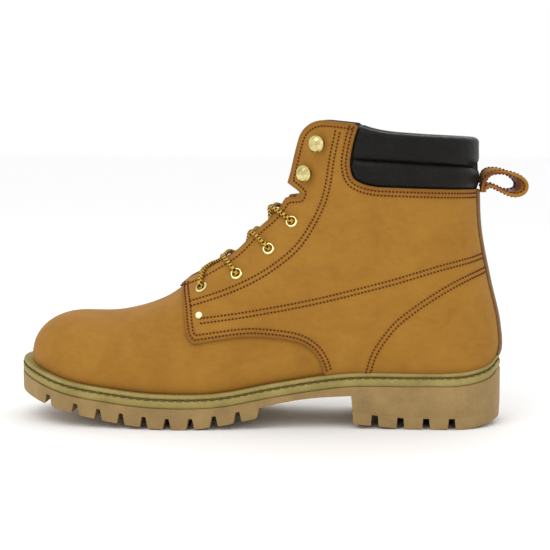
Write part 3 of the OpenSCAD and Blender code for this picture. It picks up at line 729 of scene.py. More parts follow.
SOLE_X0, SOLE_X1 = -166.5, 148.5
SOLE_PLAN = [
    [41, 43], [47.8, 50.7], [52.2, 54.3], [54.6, 54.1], [53.2, 50.2], [48.5, 43.5],
    [43.6, 38.2], [40.6, 36.4], [39.2, 37], [38.6, 37.9], [38, 38],
]
WELT_T, BAND_T, GROOVE_DEPTH, TOE_SPRING = 3.0, 5.5, 7.0, 16.0
BALL_X, BREAST_X, FOREPART_END, LUG_PITCH = -55.0, 53.0, -6.4, 14.8
HEEL_LUG_END, HEEL_PITCH, GROOVE_W, HEEL_BEVEL_X = 64.6, 16.2, 5.4, 124.0
WAIST_RISE, WAIST_RUN = 7.5, 50.0
HEEL_LIP, HEEL_LIP_END, HEEL_LIP_RUN = 3.0, 88.0, 33.0
BEVEL_RISE, BEVEL_RUN = 5.0, 26.0
# The heights of the upper's bottom edge just past the toe and past the heel
FEATHER_TOE, FEATHER_HEEL = (-168, 40.5), (154, 46.5)
ARCH = smooth([[-5, 13.8], [6.5, 16.5], [20, 18.9], [34, 20.3], [52.7, 21.2]])


def feather(x):
    """Height of the upper's bottom edge."""
    t = np.linspace(0, SEAM_STATION, 200)
    line = np.concatenate([[FEATHER_TOE], section(t, LATERAL)[0], [FEATHER_HEEL]])
    return np.interp(x, line[:, 0], line[:, 1])


def tread_z(x):
    """Height of the lugs' tips: the toe springs up, the waist rises, the heel is bevelled at its back."""
    x = np.asarray(x, float)
    fore = TOE_SPRING * (np.maximum(BALL_X - x, 0) / 100) ** 1.7
    waist = WAIST_RISE * (np.maximum(x - BALL_X, 0) / WAIST_RUN) ** 1.6
    heel = np.maximum(HEEL_LIP * (HEEL_LIP_END - x) / HEEL_LIP_RUN, 0)
    heel = heel + BEVEL_RISE * (np.maximum(x - HEEL_BEVEL_X, 0) / BEVEL_RUN) ** 1.6
    return np.where(x < BALL_X, fore, np.where(x < BREAST_X, waist, heel))


def plan_rows(x0, x1, count):
    """Places along a sole, close together at its round ends."""
    toe = x0 + 46 * (1 - np.cos(np.linspace(0, math.pi / 2, count)))
    heel = x1 - HEEL_ROUND * (1 - np.sin(np.linspace(0, math.pi / 2, count)))
    waist = np.linspace(toe[-1], heel[0], count * 2)[1:-1]
    return np.concatenate([toe, waist, heel])


def plan_half(rows, x0, x1, inset, x, side):
    """Half width at x of a foot outline drawn in by inset."""
    narrow = np.asarray(rows, float) - inset
    a, b = x0 + inset, x1 - inset
    return half_width(narrow, np.clip(x, a, b), side, a, b)


def sole_half(inset, x, side):
    return plan_half(SOLE_PLAN, SOLE_X0, SOLE_X1, inset, x, side)


def outline(rows, x0, x1, inset, base):
    """X, outer Y and inner Y of a foot outline drawn in by inset, at parts base of its length."""
    x = x0 + inset + base * (x1 - x0 - 2 * inset)
    return x, -plan_half(rows, x0, x1, inset, x, LATERAL), plan_half(rows, x0, x1, inset, x, MEDIAL)


def outline_rings(rows, x0, x1, profile, base):
    """Closed foot outlines: profile rows are [inset, height above the upper's bottom edge]."""
    rings = []
    for inset, height in profile:
        x, outer, inner = outline(rows, x0, x1, inset, base)
        z = feather(x) + height
        rings.append(np.concatenate([np.stack([x, outer, z], -1), np.stack([x, inner, z], -1)[-2:0:-1]]))
    return rings


def slab(rows, x0, x1, profile, across=8, dish=0.0, count=22):
    """A solid loft of foot outlines, from the underside up, dished by dish mm on top."""
    base = (plan_rows(x0, x1, count) - x0) / (x1 - x0)
    rings = outline_rings(rows, x0, x1, profile, base)
    n, m = len(rings[0]), len(base)
    verts = list(np.concatenate(rings))
    faces = []
    for k in range(len(rings) - 1):
        for i in range(n):
            j = (i + 1) % n
            faces.append((k * n + i, k * n + j, (k + 1) * n + j, (k + 1) * n + i))
    for k, flip in ((0, True), (len(rings) - 1, False)):
        left = [k * n + i for i in range(m)]
        right = [k * n] + [k * n + n - i for i in range(1, m - 1)] + [k * n + m - 1]
        columns = []
        for i in range(m):
            a, b = verts[left[i]], verts[right[i]]
            row = [left[i]]
            for c in range(1, across):
                f = c / across
                if left[i] == right[i]:
                    row.append(left[i])
                    continue
                sink = 0 if flip else dish * math.sin(math.pi * f) ** 0.7
                verts.append(a + (b - a) * f - np.array([0, 0, sink]))
                row.append(len(verts) - 1)
            columns.append(row + [right[i]])
        for i in range(m - 1):
            for c in range(across):
                q = (columns[i][c], columns[i + 1][c], columns[i + 1][c + 1], columns[i][c + 1])
                faces.append(q[::-1] if flip else q)
    return merged(np.array(verts), faces)[:2]


def roll_profile(inset, low, high, swell, steps=7):
    """The side of a rolled edge, from low to high over the bottom edge."""
    rows = [[inset + 6, low], [inset + 1.4, low]]
    for k in range(steps + 1):
        a = -math.pi / 2 + math.pi * k / steps
        rows.append([inset + swell * (1 - math.cos(a)), (low + high) / 2 + (high - low) / 2 * math.sin(a)])
    rows += [[inset + 2.4, high], [inset + 6, high]]
    return rows


def make_midsole(material):
    profile = roll_profile(0.15, -WELT_T - BAND_T, -WELT_T - 0.35, 1.3)
    verts, faces = slab(SOLE_PLAN, SOLE_X0, SOLE_X1, profile)
    return piece("midsole_band", verts, faces, material, replaces=["midsole"])


WELT_IN = 13.0


def make_welt(material):
    """The rolled lip that the upper is stitched to, open in the middle."""
    profile = [[WELT_IN, -WELT_T + 0.1], [3.0, -WELT_T + 0.1], [1.6, -WELT_T + 0.15]]
    middle, half = -WELT_T / 2 + 0.1, WELT_T / 2 - 0.1
    for a in np.linspace(-math.pi / 2, math.pi / 2, 7):
        profile.append([1.7 - math.cos(a), middle + half * math.sin(a)])
    profile += [[2.6, 0.0], [4.2, -0.05], [WELT_IN, -0.05]]
    base = (plan_rows(SOLE_X0, SOLE_X1, 30) - SOLE_X0) / (SOLE_X1 - SOLE_X0)
    rings = outline_rings(SOLE_PLAN, SOLE_X0, SOLE_X1, profile, base)
    n, faces = len(rings[0]), []
    for k in range(len(rings)):
        for i in range(n):
            a, b = k * n, (k + 1) % len(rings) * n
            faces.append((a + i, a + (i + 1) % n, b + (i + 1) % n, b + i))
    verts, faces, _ = merged(np.concatenate(rings), faces)
    return piece("welt_lip", verts, faces, material, replaces=["welt"])


def make_welt_sewing(material):
    """Long stitches in the groove between the welt's lip and the band below it."""
    base = (plan_rows(SOLE_X0, SOLE_X1, 80) - SOLE_X0) / (SOLE_X1 - SOLE_X0)
    x, outer, inner = outline(SOLE_PLAN, SOLE_X0, SOLE_X1, 0.9, base)
    parts = []
    for side, y in ((LATERAL, outer), (MEDIAL, inner)):
        path = np.stack([x, y, feather(x) - WELT_T - 0.12], -1)
        out = np.cross(unit(np.gradient(path, axis=0)), [0, 0, 1.0]) * -side
        parts.append(stitches_on(path[2:-2] + out[2:-2] * 0.1, out[2:-2], pitch=5.2, length=4.1, r=0.5))
    verts, faces = joined(parts)
    return piece("sewing_welt", verts, faces, material)


def layered(rings, columns):
    """A closed block of rings (x, one edge's y, the other edge's y, z), one above the other."""
    n, last = len(rings[0][0]), len(rings) - 1
    verts = np.concatenate([np.stack([x, near + (far - near) * c / columns, z], -1)
                            for x, near, far, z in rings for c in range(columns + 1)])
    faces = []

    def quad(a, b, c, d):
        faces.append(tuple((k * (columns + 1) + column) * n + i for k, column, i in (a, b, c, d)))
    for i in range(n - 1):
        for c in range(columns):
            quad((last, c, i), (last, c + 1, i), (last, c + 1, i + 1), (last, c, i + 1))
            quad((0, c, i + 1), (0, c + 1, i + 1), (0, c + 1, i), (0, c, i))
        for k in range(last):
            quad((k, columns, i), (k, columns, i + 1), (k + 1, columns, i + 1), (k + 1, columns, i))
            quad((k, 0, i + 1), (k, 0, i), (k + 1, 0, i), (k + 1, 0, i + 1))
    for k in range(last):
        for c in range(columns):
            quad((k, c, 0), (k, c + 1, 0), (k + 1, c + 1, 0), (k + 1, c, 0))
            quad((k, c + 1, n - 1), (k, c, n - 1), (k + 1, c, n - 1), (k + 1, c + 1, n - 1))
    used = sorted({i for face in faces for i in face})
    number = {v: k for k, v in enumerate(used)}
    return outward(*merged(verts[used], [tuple(number[i] for i in face) for face in faces])[:2])


# Rings of a lug from root to tip: part of its height, inset from the sole's outline, how much it widens
LUG_TIP = ((0.14, 0.15, 0.1), (0.05, 0.35, -0.25), (0.0, 1.0, -0.95))
CHANNEL = 4.0
FORE_TAPER, HEEL_TAPER = 1.5, 0.75
LUG_ROOT = 1.0
LUG_GAP, SOLE_END_GAP = GROOVE_W / 2 - 0.15, 1.2


def lug(xa, xb, side):
    """One lug of the tread: a tapered block with softened edges, from the root down to the ground."""
    taper = HEEL_TAPER if xa > BREAST_X else FORE_TAPER
    rings = []
    for z_part, inset, widen in ((1.0, 0.15, taper), *LUG_TIP):
        x = xa - widen + (xb - xa + 2 * widen) * np.linspace(0, 1, 15)
        edge = side * sole_half(inset, x, side)
        low = tread_z(x)
        near = np.full(len(x), side * (CHANNEL - widen * 0.6))
        near = np.where(np.abs(edge) < np.abs(near), edge, near)
        rings.append((x, near, edge, low + z_part * (base_under(x) + LUG_ROOT - low)))
    return layered(rings, 7)


def lug_spans():
    """Where each row of lugs starts and ends along the boot."""
    fore = [FOREPART_END - i * LUG_PITCH + GROOVE_W / 2 for i in range(1, 8)] + [-122.5, -141.5]
    heel = [HEEL_LUG_END + i * HEEL_PITCH + GROOVE_W / 2 + 0.6 for i in range(4)]
    spans = []
    for start, cuts, end in ((SOLE_X0 + SOLE_END_GAP, sorted(fore), FOREPART_END),
                             (BREAST_X + 1.4, heel, SOLE_X1 - SOLE_END_GAP)):
        starts = [start] + [cut + LUG_GAP for cut in cuts]
        spans += list(zip(starts, [cut - LUG_GAP for cut in cuts] + [end]))
    return spans


def base_under(x):
    """The underside of the outsole between its lugs."""
    fore = tread_z(x) + GROOVE_DEPTH
    arch = np.interp(x, ARCH[:, 0], ARCH[:, 1])
    heel = tread_z(x) + GROOVE_DEPTH
    step = np.clip((x - FOREPART_END) / 2.5, 0, 1)
    front = fore + (arch - fore) * step
    back = np.clip((BREAST_X + 0.8 - x) / 0.8, 0, 1)
    return np.where(x < 20, front, heel + (arch - heel) * back)


# The outsole's side wall, from its underside up: inset and part of its height
OUTSOLE_SIDE = [[0.9, 0.0], [0.35, 0.012], [0.15, 0.035], [0.15, 0.93], [0.5, 0.97], [1.3, 1.0]]


def make_outsole(material):
    """The rubber outsole: a body under the band, and rows of lugs either side of a middle channel."""
    rows = np.unique(np.concatenate([
        plan_rows(SOLE_X0, SOLE_X1, 40), BREAST_X + np.array([0, 0.2, 0.4, 0.6, 0.8]),
        FOREPART_END + np.array([0, 0.8, 1.6, 2.5])]))
    base = (rows - SOLE_X0) / (SOLE_X1 - SOLE_X0)
    rings = []
    for inset, part in OUTSOLE_SIDE:
        x, outer, inner = outline(SOLE_PLAN, SOLE_X0, SOLE_X1, inset, base)
        low, high = base_under(x), feather(x) - WELT_T - BAND_T
        rings.append((x, outer, inner, low + part * (high - low)))
    lugs = [lug(xa, xb, side) for xa, xb in lug_spans() for side in (LATERAL, MEDIAL)]
    verts, faces = joined([layered(rings, 9), *lugs])
    return piece("rubber_outsole", verts, faces, material, replaces=["outsole"],
                 sharp=40)


def make_footbed(material):
    profile = [[8.2, 2.3], [7.3, 2.6], [7.2, 6.0], [7.6, 6.7], [8.6, 7.0]]
    verts, faces = slab(LAST_PLAN, TOE_X, HEEL_X, profile, across=14, dish=0.9, count=26)
    return piece("soft_footbed", verts, faces, material, replaces=["footbed"])


# ---- tongue ----

TONGUE_LOW, TONGUE_T, TONGUE_EDGE = 8.0, 3.0, 0.3
# Stations of the channels sewn across the tongue
TONGUE_CHANNELS = (5.2, 7.4, 9.6, 11.8)


def tongue_lift(t, g):
    """The tongue's lift: a little higher along its ridge, and up under the vamp at its root."""
    ridge = 0.8 * np.maximum(1 - np.abs(g) / 0.2, 0)
    root = 3.4 * np.clip((4 - t) / 0.25, 0, 1)
    return -TONGUE_LOW - 0.2 + ridge + root


TUCK_LOW, TUCK_HIGH, TUCK_HALF_W = 2.6, 6.4, 19.0
TUCK_WAY = np.array([0.88, 0, -0.47])


def tucked(verts):
    """The tongue pressed in along its ridge, most of all above the notch, where no lace holds it out."""
    v = np.array(verts)
    amount = TUCK_LOW * eased((v[:, 2] - 88) / 20) + TUCK_HIGH * eased((v[:, 2] - 138) / 18)
    ridge = np.maximum(1 - (v[:, 1] / TUCK_HALF_W) ** 2, 0)
    return v + (amount * ridge)[:, None] * TUCK_WAY


def make_tongue(material):
    corners = np.array([[3.73, -0.24], [3.95, -TONGUE_EDGE], [12.9, -TONGUE_EDGE], [13.35, -0.27],
                        [13.58, -0.2], [13.6, 0.0]])
    line = np.concatenate([corners, (corners * [1, -1])[-2::-1]])
    loop = dense(pattern(line[:, 0], line[:, 1]), 1.8)

    def outer(t, g, at):
        dip = sum(np.exp(-((t - q) / 0.07) ** 2) for q in TONGUE_CHANNELS)
        crown = 0.5 * np.sqrt(np.maximum(1 - (g / TONGUE_EDGE) ** 2, 0))
        return tongue_lift(t, g) + crown - 0.5 * dip * (t > 4.4)
    rows = [pattern(np.full(40, q + d), np.linspace(-0.29, 0.29, 40))
            for q in TONGUE_CHANNELS for d in (-0.06, 0, 0.06)]
    verts, faces, edge = panel(loop, outer, lambda t, g, at: tongue_lift(t, g) - TONGUE_T, rows=rows,
                               spacing=2.4, round_out=1.2, ring=5)
    obj = piece("padded_tongue", tucked(verts), faces, material, body="tongue",
                replaces=["tongue"], edge=edge)
    return obj


GUSSET_T = 0.9


def make_gusset(name, side, material):
    """A soft fold of leather from the lining down to the tongue's edge."""
    t, g = np.meshgrid(np.linspace(4.3, 6.4, 40), np.linspace(0.5, TONGUE_EDGE + 0.012, 16), indexing="ij")
    fold = -4.2 - 4.6 * np.clip((0.5 - g) / 0.09, 0, 1) - 0.25 * np.sin(g * 60) * np.sin(t * 9)
    verts, faces = grid_solid(off_last(t, side * g, fold), off_last(t, side * g, fold - GUSSET_T))
    obj = piece("leather_" + name, verts, faces, material, body=None, replaces=[name])
    outer = off_last(5.3, side * 0.44, -8.0) * MM
    inner = off_last(5.3, side * 0.312, -9.0) * MM
    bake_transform(obj)
    return obj


# ---- lace ----

LACE_D = 3.2
HIGH, LOW = -2.1, -5.6
STRANDS, TWIST, CHECK = 4, 0.9, 2.1


def strand(side, first, second):
    """One end of the lace from the toe-side eyelets up: stations, girth places and lifts, as in the CAD."""
    rows = [
        [4.12, -0.14, -5.7], [4.12, -0.24, -5.8], [4.12, -0.31, -5.5], [4.12, -0.33, -2], [4.12, -0.33, 2.2],
        [4.13, -0.31, 4.3], [4.17, -0.26, 4.2], [4.24, -0.19, 3.6], [4.36, -0.1, (first + 3) / 2],
        [4.5, 0, first], [4.64, 0.1, (first + 2) / 2], [4.76, 0.19, 3.2], [4.86, 0.27, 4], [4.95, 0.35, 4.3],
        [4.98, 0.38, 2.2], [4.98, 0.38, -2], [4.99, 0.36, -5.5], [5.06, 0.3, -5.8], [5.2, 0.2, -5.8],
        [5.4, 0.09, (second - 5.8) / 2], [5.52, 0, second], [5.62, -0.1, second / 2 - 1], [5.71, -0.18, 2.6],
        [5.82, -0.25, 3.8], [5.92, -0.33, 4.3], [5.95, -0.36, 2.2], [5.95, -0.36, -2], [5.97, -0.34, -5.5],
        [6.05, -0.28, -5.8], [6.2, -0.19, -5.8], [6.4, -0.09, (first - 5.8) / 2], [6.52, 0, first],
        [6.64, 0.1, first / 2 - 1], [6.76, 0.18, 2.6], [6.88, 0.24, 3.8], [7, 0.3, 4.3], [7.03, 0.33, 2.2],
        [7.03, 0.33, -2], [7.03, 0.33, -6],
    ]
    rows = np.array(rows, float)
    return off_last(rows[:, 0], -side * rows[:, 1], rows[:, 2])


LACE_END_ROUTE = [
    [17, -18.5, 127], [22, -21, 121], [26.5, -23, 113], [30, -25, 104], [33, -27, 93], [35, -28.5, 81],
    [36.5, -29.5, 69], [39, -29.5, 58], [44, -29, 50], [52, -27.5, 46.2], [64, -25.5, 45], [80, -24, 44.8],
    [94, -22.6, 44.9], [104, -22, 45], [109.3, -20.3, 45.2], [112.6, -15.8, 45.4], [112.6, -10.2, 45.4],
    [109.3, -5.7, 45.2], [104, -4, 45], [86, -4, 44.8], [66, -4.2, 44.9], [46, -4.3, 44.2], [30, -4, 42.2],
    [18, -4, 40.3], [12.7, -5.7, 39.5], [9.4, -10.2, 39], [9.4, -15.8, 39], [12.7, -20.3, 39.5],
    [18, -22, 40.3], [30, -20.4, 42.2], [44, -15.8, 44], [60, -13, 45.2], [78, -12.4, 45.5],
]
AGLET_L, AGLET_R, AGLET_LAP = 22.0, 1.7, 1.5


def aglet_radius(d, a):
    """A plain tube with rounded ends."""
    soft = np.minimum(rounded(d, 1.0, 2.0), rounded(AGLET_L + AGLET_LAP - d, 1.0, 2.0))
    return AGLET_R * np.maximum(soft, 0.25) + 0 * a


def braid(path, step, around):
    """A round braided cord: yarns that cross each other in small diamonds, gold ones and dark ones."""
    path = evenly(path, step)

    def radius(d, a):
        over = np.cos(STRANDS * (a - TWIST * d))
        under = np.cos(STRANDS * (a + TWIST * d))
        return LACE_D / 2 - 0.2 + 0.1 * np.maximum(over, under) + 0.1 * np.abs(over * under)
    verts, faces = swept(path, radius, around)
    d = np.repeat(np.arange(len(path) - 1) * step, around)
    a = np.tile((np.arange(around) + 0.5) * 2 * math.pi / around, len(path) - 1)
    dark = (np.cos(2 * a) * np.cos(CHECK * (d + step / 2)) > 0.1).astype(int)
    return verts, faces, np.concatenate([dark, [0, 0]])


def make_braid(name, path, materials, step, around, replaces):
    verts, faces, dark = braid(path, step, around)
    obj = piece(name, verts, faces, materials[0], replaces=replaces)
    obj.data.materials.append(materials[1])
    obj.data.polygons.foreach_set("material_index", dark.astype(np.int32))
    return obj


def free_end(side):
    start = off_last(7.03, side * 0.33, -6.0)[None]
    route = np.array(LACE_END_ROUTE) * [1, -side, 1]
    return np.concatenate([start, along(route, np.linspace(0, len(route) - 1, (len(route) - 1) * 2 + 1))])


def make_laces(materials, aglet_material):
    points = np.concatenate([strand(LATERAL, HIGH, LOW)[::-1], off_last(4.12, 0.0, -5.7)[None],
                             strand(MEDIAL, LOW, HIGH)])
    run = along(points, np.linspace(0, len(points) - 1, (len(points) - 1) * 10 + 1))
    make_braid("lace_crossings", run, materials, 0.45, 24, ["lace_run"])
    for name, side in SIDES.items():
        path = free_end(side)
        fine = along(path, np.linspace(0, len(path) - 1, (len(path) - 1) * 5 + 1))
        end = make_braid("lace_free_end_" + name, fine, materials, 0.8, 16, ["lace_end_" + name])
        way = unit(path[-1] - path[-2])
        aglet_path = path[-1] + way * np.linspace(-AGLET_LAP, AGLET_L, 40)[:, None]
        verts, faces = swept(aglet_path, aglet_radius, 24)
        tip = piece("aglet_" + name, verts, faces, aglet_material)
        if side == LATERAL:
            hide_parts("aglets")


# ---- pull loop ----

LOOP_PATH = [
    [135.1, 149], [135.3, 153], [136.0, 158.0], [138.8, 161.7], [144.6, 162.6], [151, 161.4], [156.4, 158.8],
    [159.6, 155.2], [159.6, 151.4], [157, 149], [152.4, 148.4], [147.4, 150], [142.6, 152.6], [139.2, 153.4],
    [137.0, 151.6], [136.4, 149.2],
]
LOOP_W, LOOP_T, LOOP_YAW = 17.0, 2.3, math.radians(20)
LOOP_ROW = 0.76 * LOOP_W / 2


def make_pull_loop(leather, lining, thread):
    """A folded leather strap, twisted a little, with a row of stitches along each edge."""
    path = along(LOOP_PATH, np.linspace(0, len(LOOP_PATH) - 1, 140))
    way = unit(np.gradient(path, axis=0))
    out = np.stack([-way[:, 1], way[:, 0]], -1)
    s = np.linspace(0, 1, len(path))
    twist = np.radians(11) * np.sin(np.pi * s) * np.sin(2 * np.pi * s + 0.6)
    yaw = LOOP_YAW * eased((s - 0.04) / 0.26) * (1 - eased((s - 0.7) / 0.26))
    level, rise = np.cos(twist), out * np.sin(twist)[:, None]
    across = np.stack([rise[:, 0] * np.cos(yaw) - level * np.sin(yaw),
                       rise[:, 0] * np.sin(yaw) + level * np.cos(yaw), rise[:, 1]], -1)
    n = unit(np.cross(np.stack([way[:, 0], 0 * s, way[:, 1]], -1), across))
    centre = np.stack([path[:, 0], 0.5 * np.sin(2 * np.pi * s), path[:, 1]], -1)
    half = np.array([0.25, 0.5, 0.72, 0.8, 0.93, 0.98, 1])
    w = LOOP_W / 2 * np.concatenate([-half[::-1], [0], half])
    edge = np.abs(w) / (LOOP_W / 2)
    thick = LOOP_T / 2 * np.where(edge > 0.9, np.sqrt(np.maximum(1 - ((edge - 0.9) / 0.1) ** 2, 0.02)), 1)
    thick = thick - 0.18 * np.exp(-(((np.abs(w) - LOOP_ROW) / 0.7) ** 2))
    top = centre[:, None] + across[:, None] * w[None, :, None] + n[:, None] * thick[None, :, None]
    low = centre[:, None] + across[:, None] * w[None, :, None] - n[:, None] * thick[None, :, None]
    verts, faces = grid_solid(top, low)
    obj = piece("leather_pull_loop", verts, faces, leather, body=None,
                replaces=["pull_loop"])
    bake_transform(obj)
    obj.data.materials.append(lining)
    side = np.zeros(len(obj.data.polygons), np.int32)
    centres = np.array([p.center for p in obj.data.polygons]) / MM
    near = np.argmin(((centres[:, None, [0, 2]] - path[None]) ** 2).sum(2), axis=1)
    side[((centres[:, [0, 2]] - path[near]) * out[near]).sum(1) < -0.3] = 1
    obj.data.polygons.foreach_set("material_index", side)
    parts = []
    for sign in (-1, 1):
        for face in (-1, 1):
            row = centre + across * sign * LOOP_ROW + n * face * (LOOP_T / 2 - 0.25)
            parts.append(stitches_on(row[6:-6], n[6:-6] * face, pitch=2.4, length=1.8))
    verts, faces = joined(parts)
    rows = piece("sewing_pull_loop", verts, faces, thread, body=None)
    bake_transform(rows)


# ---- materials ----

class Shade:
    """A material with a Principled surface, and short ways to wire its nodes."""

    def __init__(self, name, **values):
        self.material = bpy.data.materials.new(name)
        self.material.use_nodes = True
        self.tree = self.material.node_tree
        self.surface = self.tree.nodes["Principled BSDF"]
        for key, value in values.items():
            self.surface.inputs[key.replace("_", " ")].default_value = value
        self.at = self.node("ShaderNodeTexCoord").outputs["Object"]

    def node(self, kind, inputs=None, **settings):
        made = self.tree.nodes.new(kind)
        for key, value in settings.items():
            setattr(made, key, value)
        for key, value in (inputs or {}).items():
            if isinstance(value, bpy.types.NodeSocket):
                self.tree.links.new(value, made.inputs[key])
            else:
                made.inputs[key].default_value = value
        return made

    def noise(self, size, detail=4.0, rough=0.55, stretch=(1, 1, 1), warp=0.0):
        """Noise whose blobs are about size mm across."""
        at = self.node("ShaderNodeMapping", {"Vector": self.at, "Scale": stretch}).outputs[0]
        return self.node("ShaderNodeTexNoise", {"Vector": at, "Scale": 1 / (size * MM), "Detail": detail,
                                                "Roughness": rough, "Distortion": warp}).outputs["Fac"]

    def cells(self, size, feature="F1", stretch=(1, 1, 1)):
        at = self.node("ShaderNodeMapping", {"Vector": self.at, "Scale": stretch}).outputs[0]
        return self.node("ShaderNodeTexVoronoi", {"Vector": at, "Scale": 1 / (size * MM)},
                         feature=feature).outputs["Distance"]

    def ramp(self, fac, stops):
        made = self.node("ShaderNodeValToRGB", {"Fac": fac})
        band = made.color_ramp
        while len(band.elements) < len(stops):
            band.elements.new(0.5)
        for element, (where, colour) in zip(band.elements, stops):
            element.position = where
            element.color = (*colour, 1)
        return made.outputs["Color"]

    def span(self, value, low, high, to_low=0.0, to_high=1.0):
        return self.node("ShaderNodeMapRange", {"Value": value, "From Min": low, "From Max": high,
                                                "To Min": to_low, "To Max": to_high}).outputs["Result"]

    def math(self, a, b, operation="MULTIPLY"):
        made = self.node("ShaderNodeMath", operation=operation)
        for i, value in enumerate((a, b)):
            if isinstance(value, bpy.types.NodeSocket):
                self.tree.links.new(value, made.inputs[i])
            else:
                made.inputs[i].default_value = value
        return made.outputs[0]

    def mix(self, fac, a, b, blend="MIX"):
        made = self.node("ShaderNodeMix", data_type="RGBA", blend_type=blend)
        for socket, value in ((made.inputs[0], fac), (made.inputs[6], a), (made.inputs[7], b)):
            if isinstance(value, bpy.types.NodeSocket):
                self.tree.links.new(value, socket)
            else:
                socket.default_value = (*value, 1) if isinstance(value, tuple) else value
        return made.outputs[2]

    def colour(self, socket):
        self.tree.links.new(socket, self.surface.inputs["Base Color"])

    def rough(self, fac, low, high):
        self.tree.links.new(self.span(fac, 0.25, 0.75, low, high), self.surface.inputs["Roughness"])

    def bump(self, *layers):
        """Layers of (height socket, depth in mm), from coarse to fine."""
        normal = None
        for height, depth in layers:
            inputs = {"Height": height, "Distance": depth * MM, "Strength": 1.0}
            if normal is not None:
                inputs["Normal"] = normal
            normal = self.node("ShaderNodeBump", inputs).outputs["Normal"]
        self.tree.links.new(normal, self.surface.inputs["Normal"])


def linear(r, g, b):
    """A colour given as screen values from 0 to 255, in the renderer's linear units."""
    return tuple(((c / 255 + 0.055) / 1.055) ** 2.4 if c > 10 else c / 255 / 12.92 for c in (r, g, b))


def nubuck(name, dark, base, light, edge):
    """Brushed leather: clouds of nap lying different ways, fine fibres, pores, and darker worn edges."""
    m = Shade(name, Roughness=0.86, Sheen_Weight=0.05, Sheen_Roughness=0.45, Specular_IOR_Level=0.2)
    clouds = m.noise(26, 5, 0.6, warp=0.6)
    nap = m.noise(5.5, 6, 0.65, stretch=(1, 1, 1.7))
    fibre = m.noise(0.7, 3, 0.7)
    pores = m.cells(0.9)
    tone = m.math(m.math(clouds, 0.62), m.math(nap, 0.38), "ADD")
    skin = m.ramp(tone, [(0.30, dark), (0.50, base), (0.72, light)])
    skin = m.mix(m.span(fibre, 0.3, 0.7, 0.0, 0.22), skin, dark)
    worn = m.node("ShaderNodeAttribute", attribute_name="edge").outputs["Fac"]
    skin = m.mix(m.math(worn, m.span(nap, 0.3, 0.7, 0.35, 0.75)), skin, edge)
    m.colour(skin)
    m.rough(nap, 0.78, 0.94)
    m.bump((clouds, 0.5), (nap, 0.22), (m.span(pores, 0.0, 0.5), 0.03), (fibre, 0.05))
    return m.material


def smooth_leather(name, dark, base, light, rough=(0.32, 0.5), grain=1.1, depth=0.1):
    """Finished leather with a pebbled grain."""
    m = Shade(name, Roughness=0.4, Specular_IOR_Level=0.14)
    pebble = m.cells(grain, "SMOOTH_F1")
    cloud = m.noise(14, 4)
    fine = m.noise(0.5, 3)
    tone = m.math(m.math(cloud, 0.6), m.math(pebble, 0.5), "ADD")
    m.colour(m.ramp(tone, [(0.2, dark), (0.5, base), (0.85, light)]))
    m.rough(cloud, *rough)
    m.bump((cloud, 0.25), (m.noise(4.5, 3), 0.12), (pebble, -depth), (fine, 0.015))
    return m.material


def rubber(name, dark, base, light, rough=(0.55, 0.75)):
    """Moulded rubber with a faint mottle."""
    m = Shade(name, Roughness=0.6, Specular_IOR_Level=0.35)
    cloud = m.noise(18, 5, 0.6)
    speck = m.noise(1.2, 4, 0.7)
    tone = m.math(m.math(cloud, 0.7), m.math(speck, 0.3), "ADD")
    m.colour(m.ramp(tone, [(0.3, dark), (0.5, base), (0.7, light)]))
    m.rough(cloud, *rough)
    m.bump((m.noise(6, 3), 0.08), (speck, 0.035), (m.noise(0.35, 2), 0.012))
    return m.material


def metal(name, base, tint, rough=(0.14, 0.26), scratch=0.004):
    m = Shade(name, Metallic=1.0, Roughness=0.25)
    patina = m.noise(3.5, 5, 0.6)
    lines = m.noise(0.9, 4, 0.7, stretch=(1, 6, 1))
    m.colour(m.ramp(patina, [(0.3, tint), (0.6, base)]))
    m.rough(lines, *rough)
    m.bump((patina, 0.008), (lines, scratch))
    return m.material


def cord_yarn(name, dark, base):
    """Yarn of a braided cord: fine filaments that run slantwise."""
    m = Shade(name, Roughness=0.62, Specular_IOR_Level=0.2)
    filament = m.noise(0.28, 3, 0.6, stretch=(1, 2.2, 0.6))
    m.colour(m.ramp(filament, [(0.3, dark), (0.62, base)]))
    m.rough(filament, 0.5, 0.75)
    m.bump((filament, 0.06), (m.noise(0.12, 2), 0.02))
    return m.material


def thread(name, dark, base):
    m = Shade(name, Roughness=0.55, Specular_IOR_Level=0.15)
    ply = m.node("ShaderNodeTexWave", {"Vector": m.at, "Scale": 620.0, "Distortion": 2.0, "Detail": 2.0},
                 bands_direction="DIAGONAL").outputs["Fac"]
    m.colour(m.ramp(ply, [(0.1, dark), (0.8, base)]))
    m.rough(ply, 0.45, 0.7)
    m.bump((ply, 0.05), (m.noise(0.3, 2), 0.02))
    return m.material


def woven(name, dark, base, light, pitch=1.3, depth=0.12):
    """Cloth: warp and weft of the given pitch in mm."""
    m = Shade(name, Roughness=0.85, Sheen_Weight=0.25)
    waves = []
    for direction in ("X", "Y", "Z"):
        waves.append(m.node("ShaderNodeTexWave", {"Vector": m.at, "Scale": 0.31416 / (pitch * MM),
                                                  "Distortion": 0.35, "Detail": 1.0, "Detail Scale": 3.0},
                            bands_direction=direction).outputs["Fac"])
    weave = m.math(m.math(waves[0], waves[2]), m.math(waves[1], 0.4), "ADD")
    wear = m.noise(9, 4)
    skin = m.ramp(weave, [(0.1, dark), (0.5, base), (0.95, light)])
    m.colour(m.mix(m.span(wear, 0.35, 0.75, 0.0, 0.3), skin, dark))
    m.rough(wear, 0.75, 0.95)
    m.bump((wear, 0.12), (weave, depth), (m.noise(0.25, 2), 0.03))
    return m.material


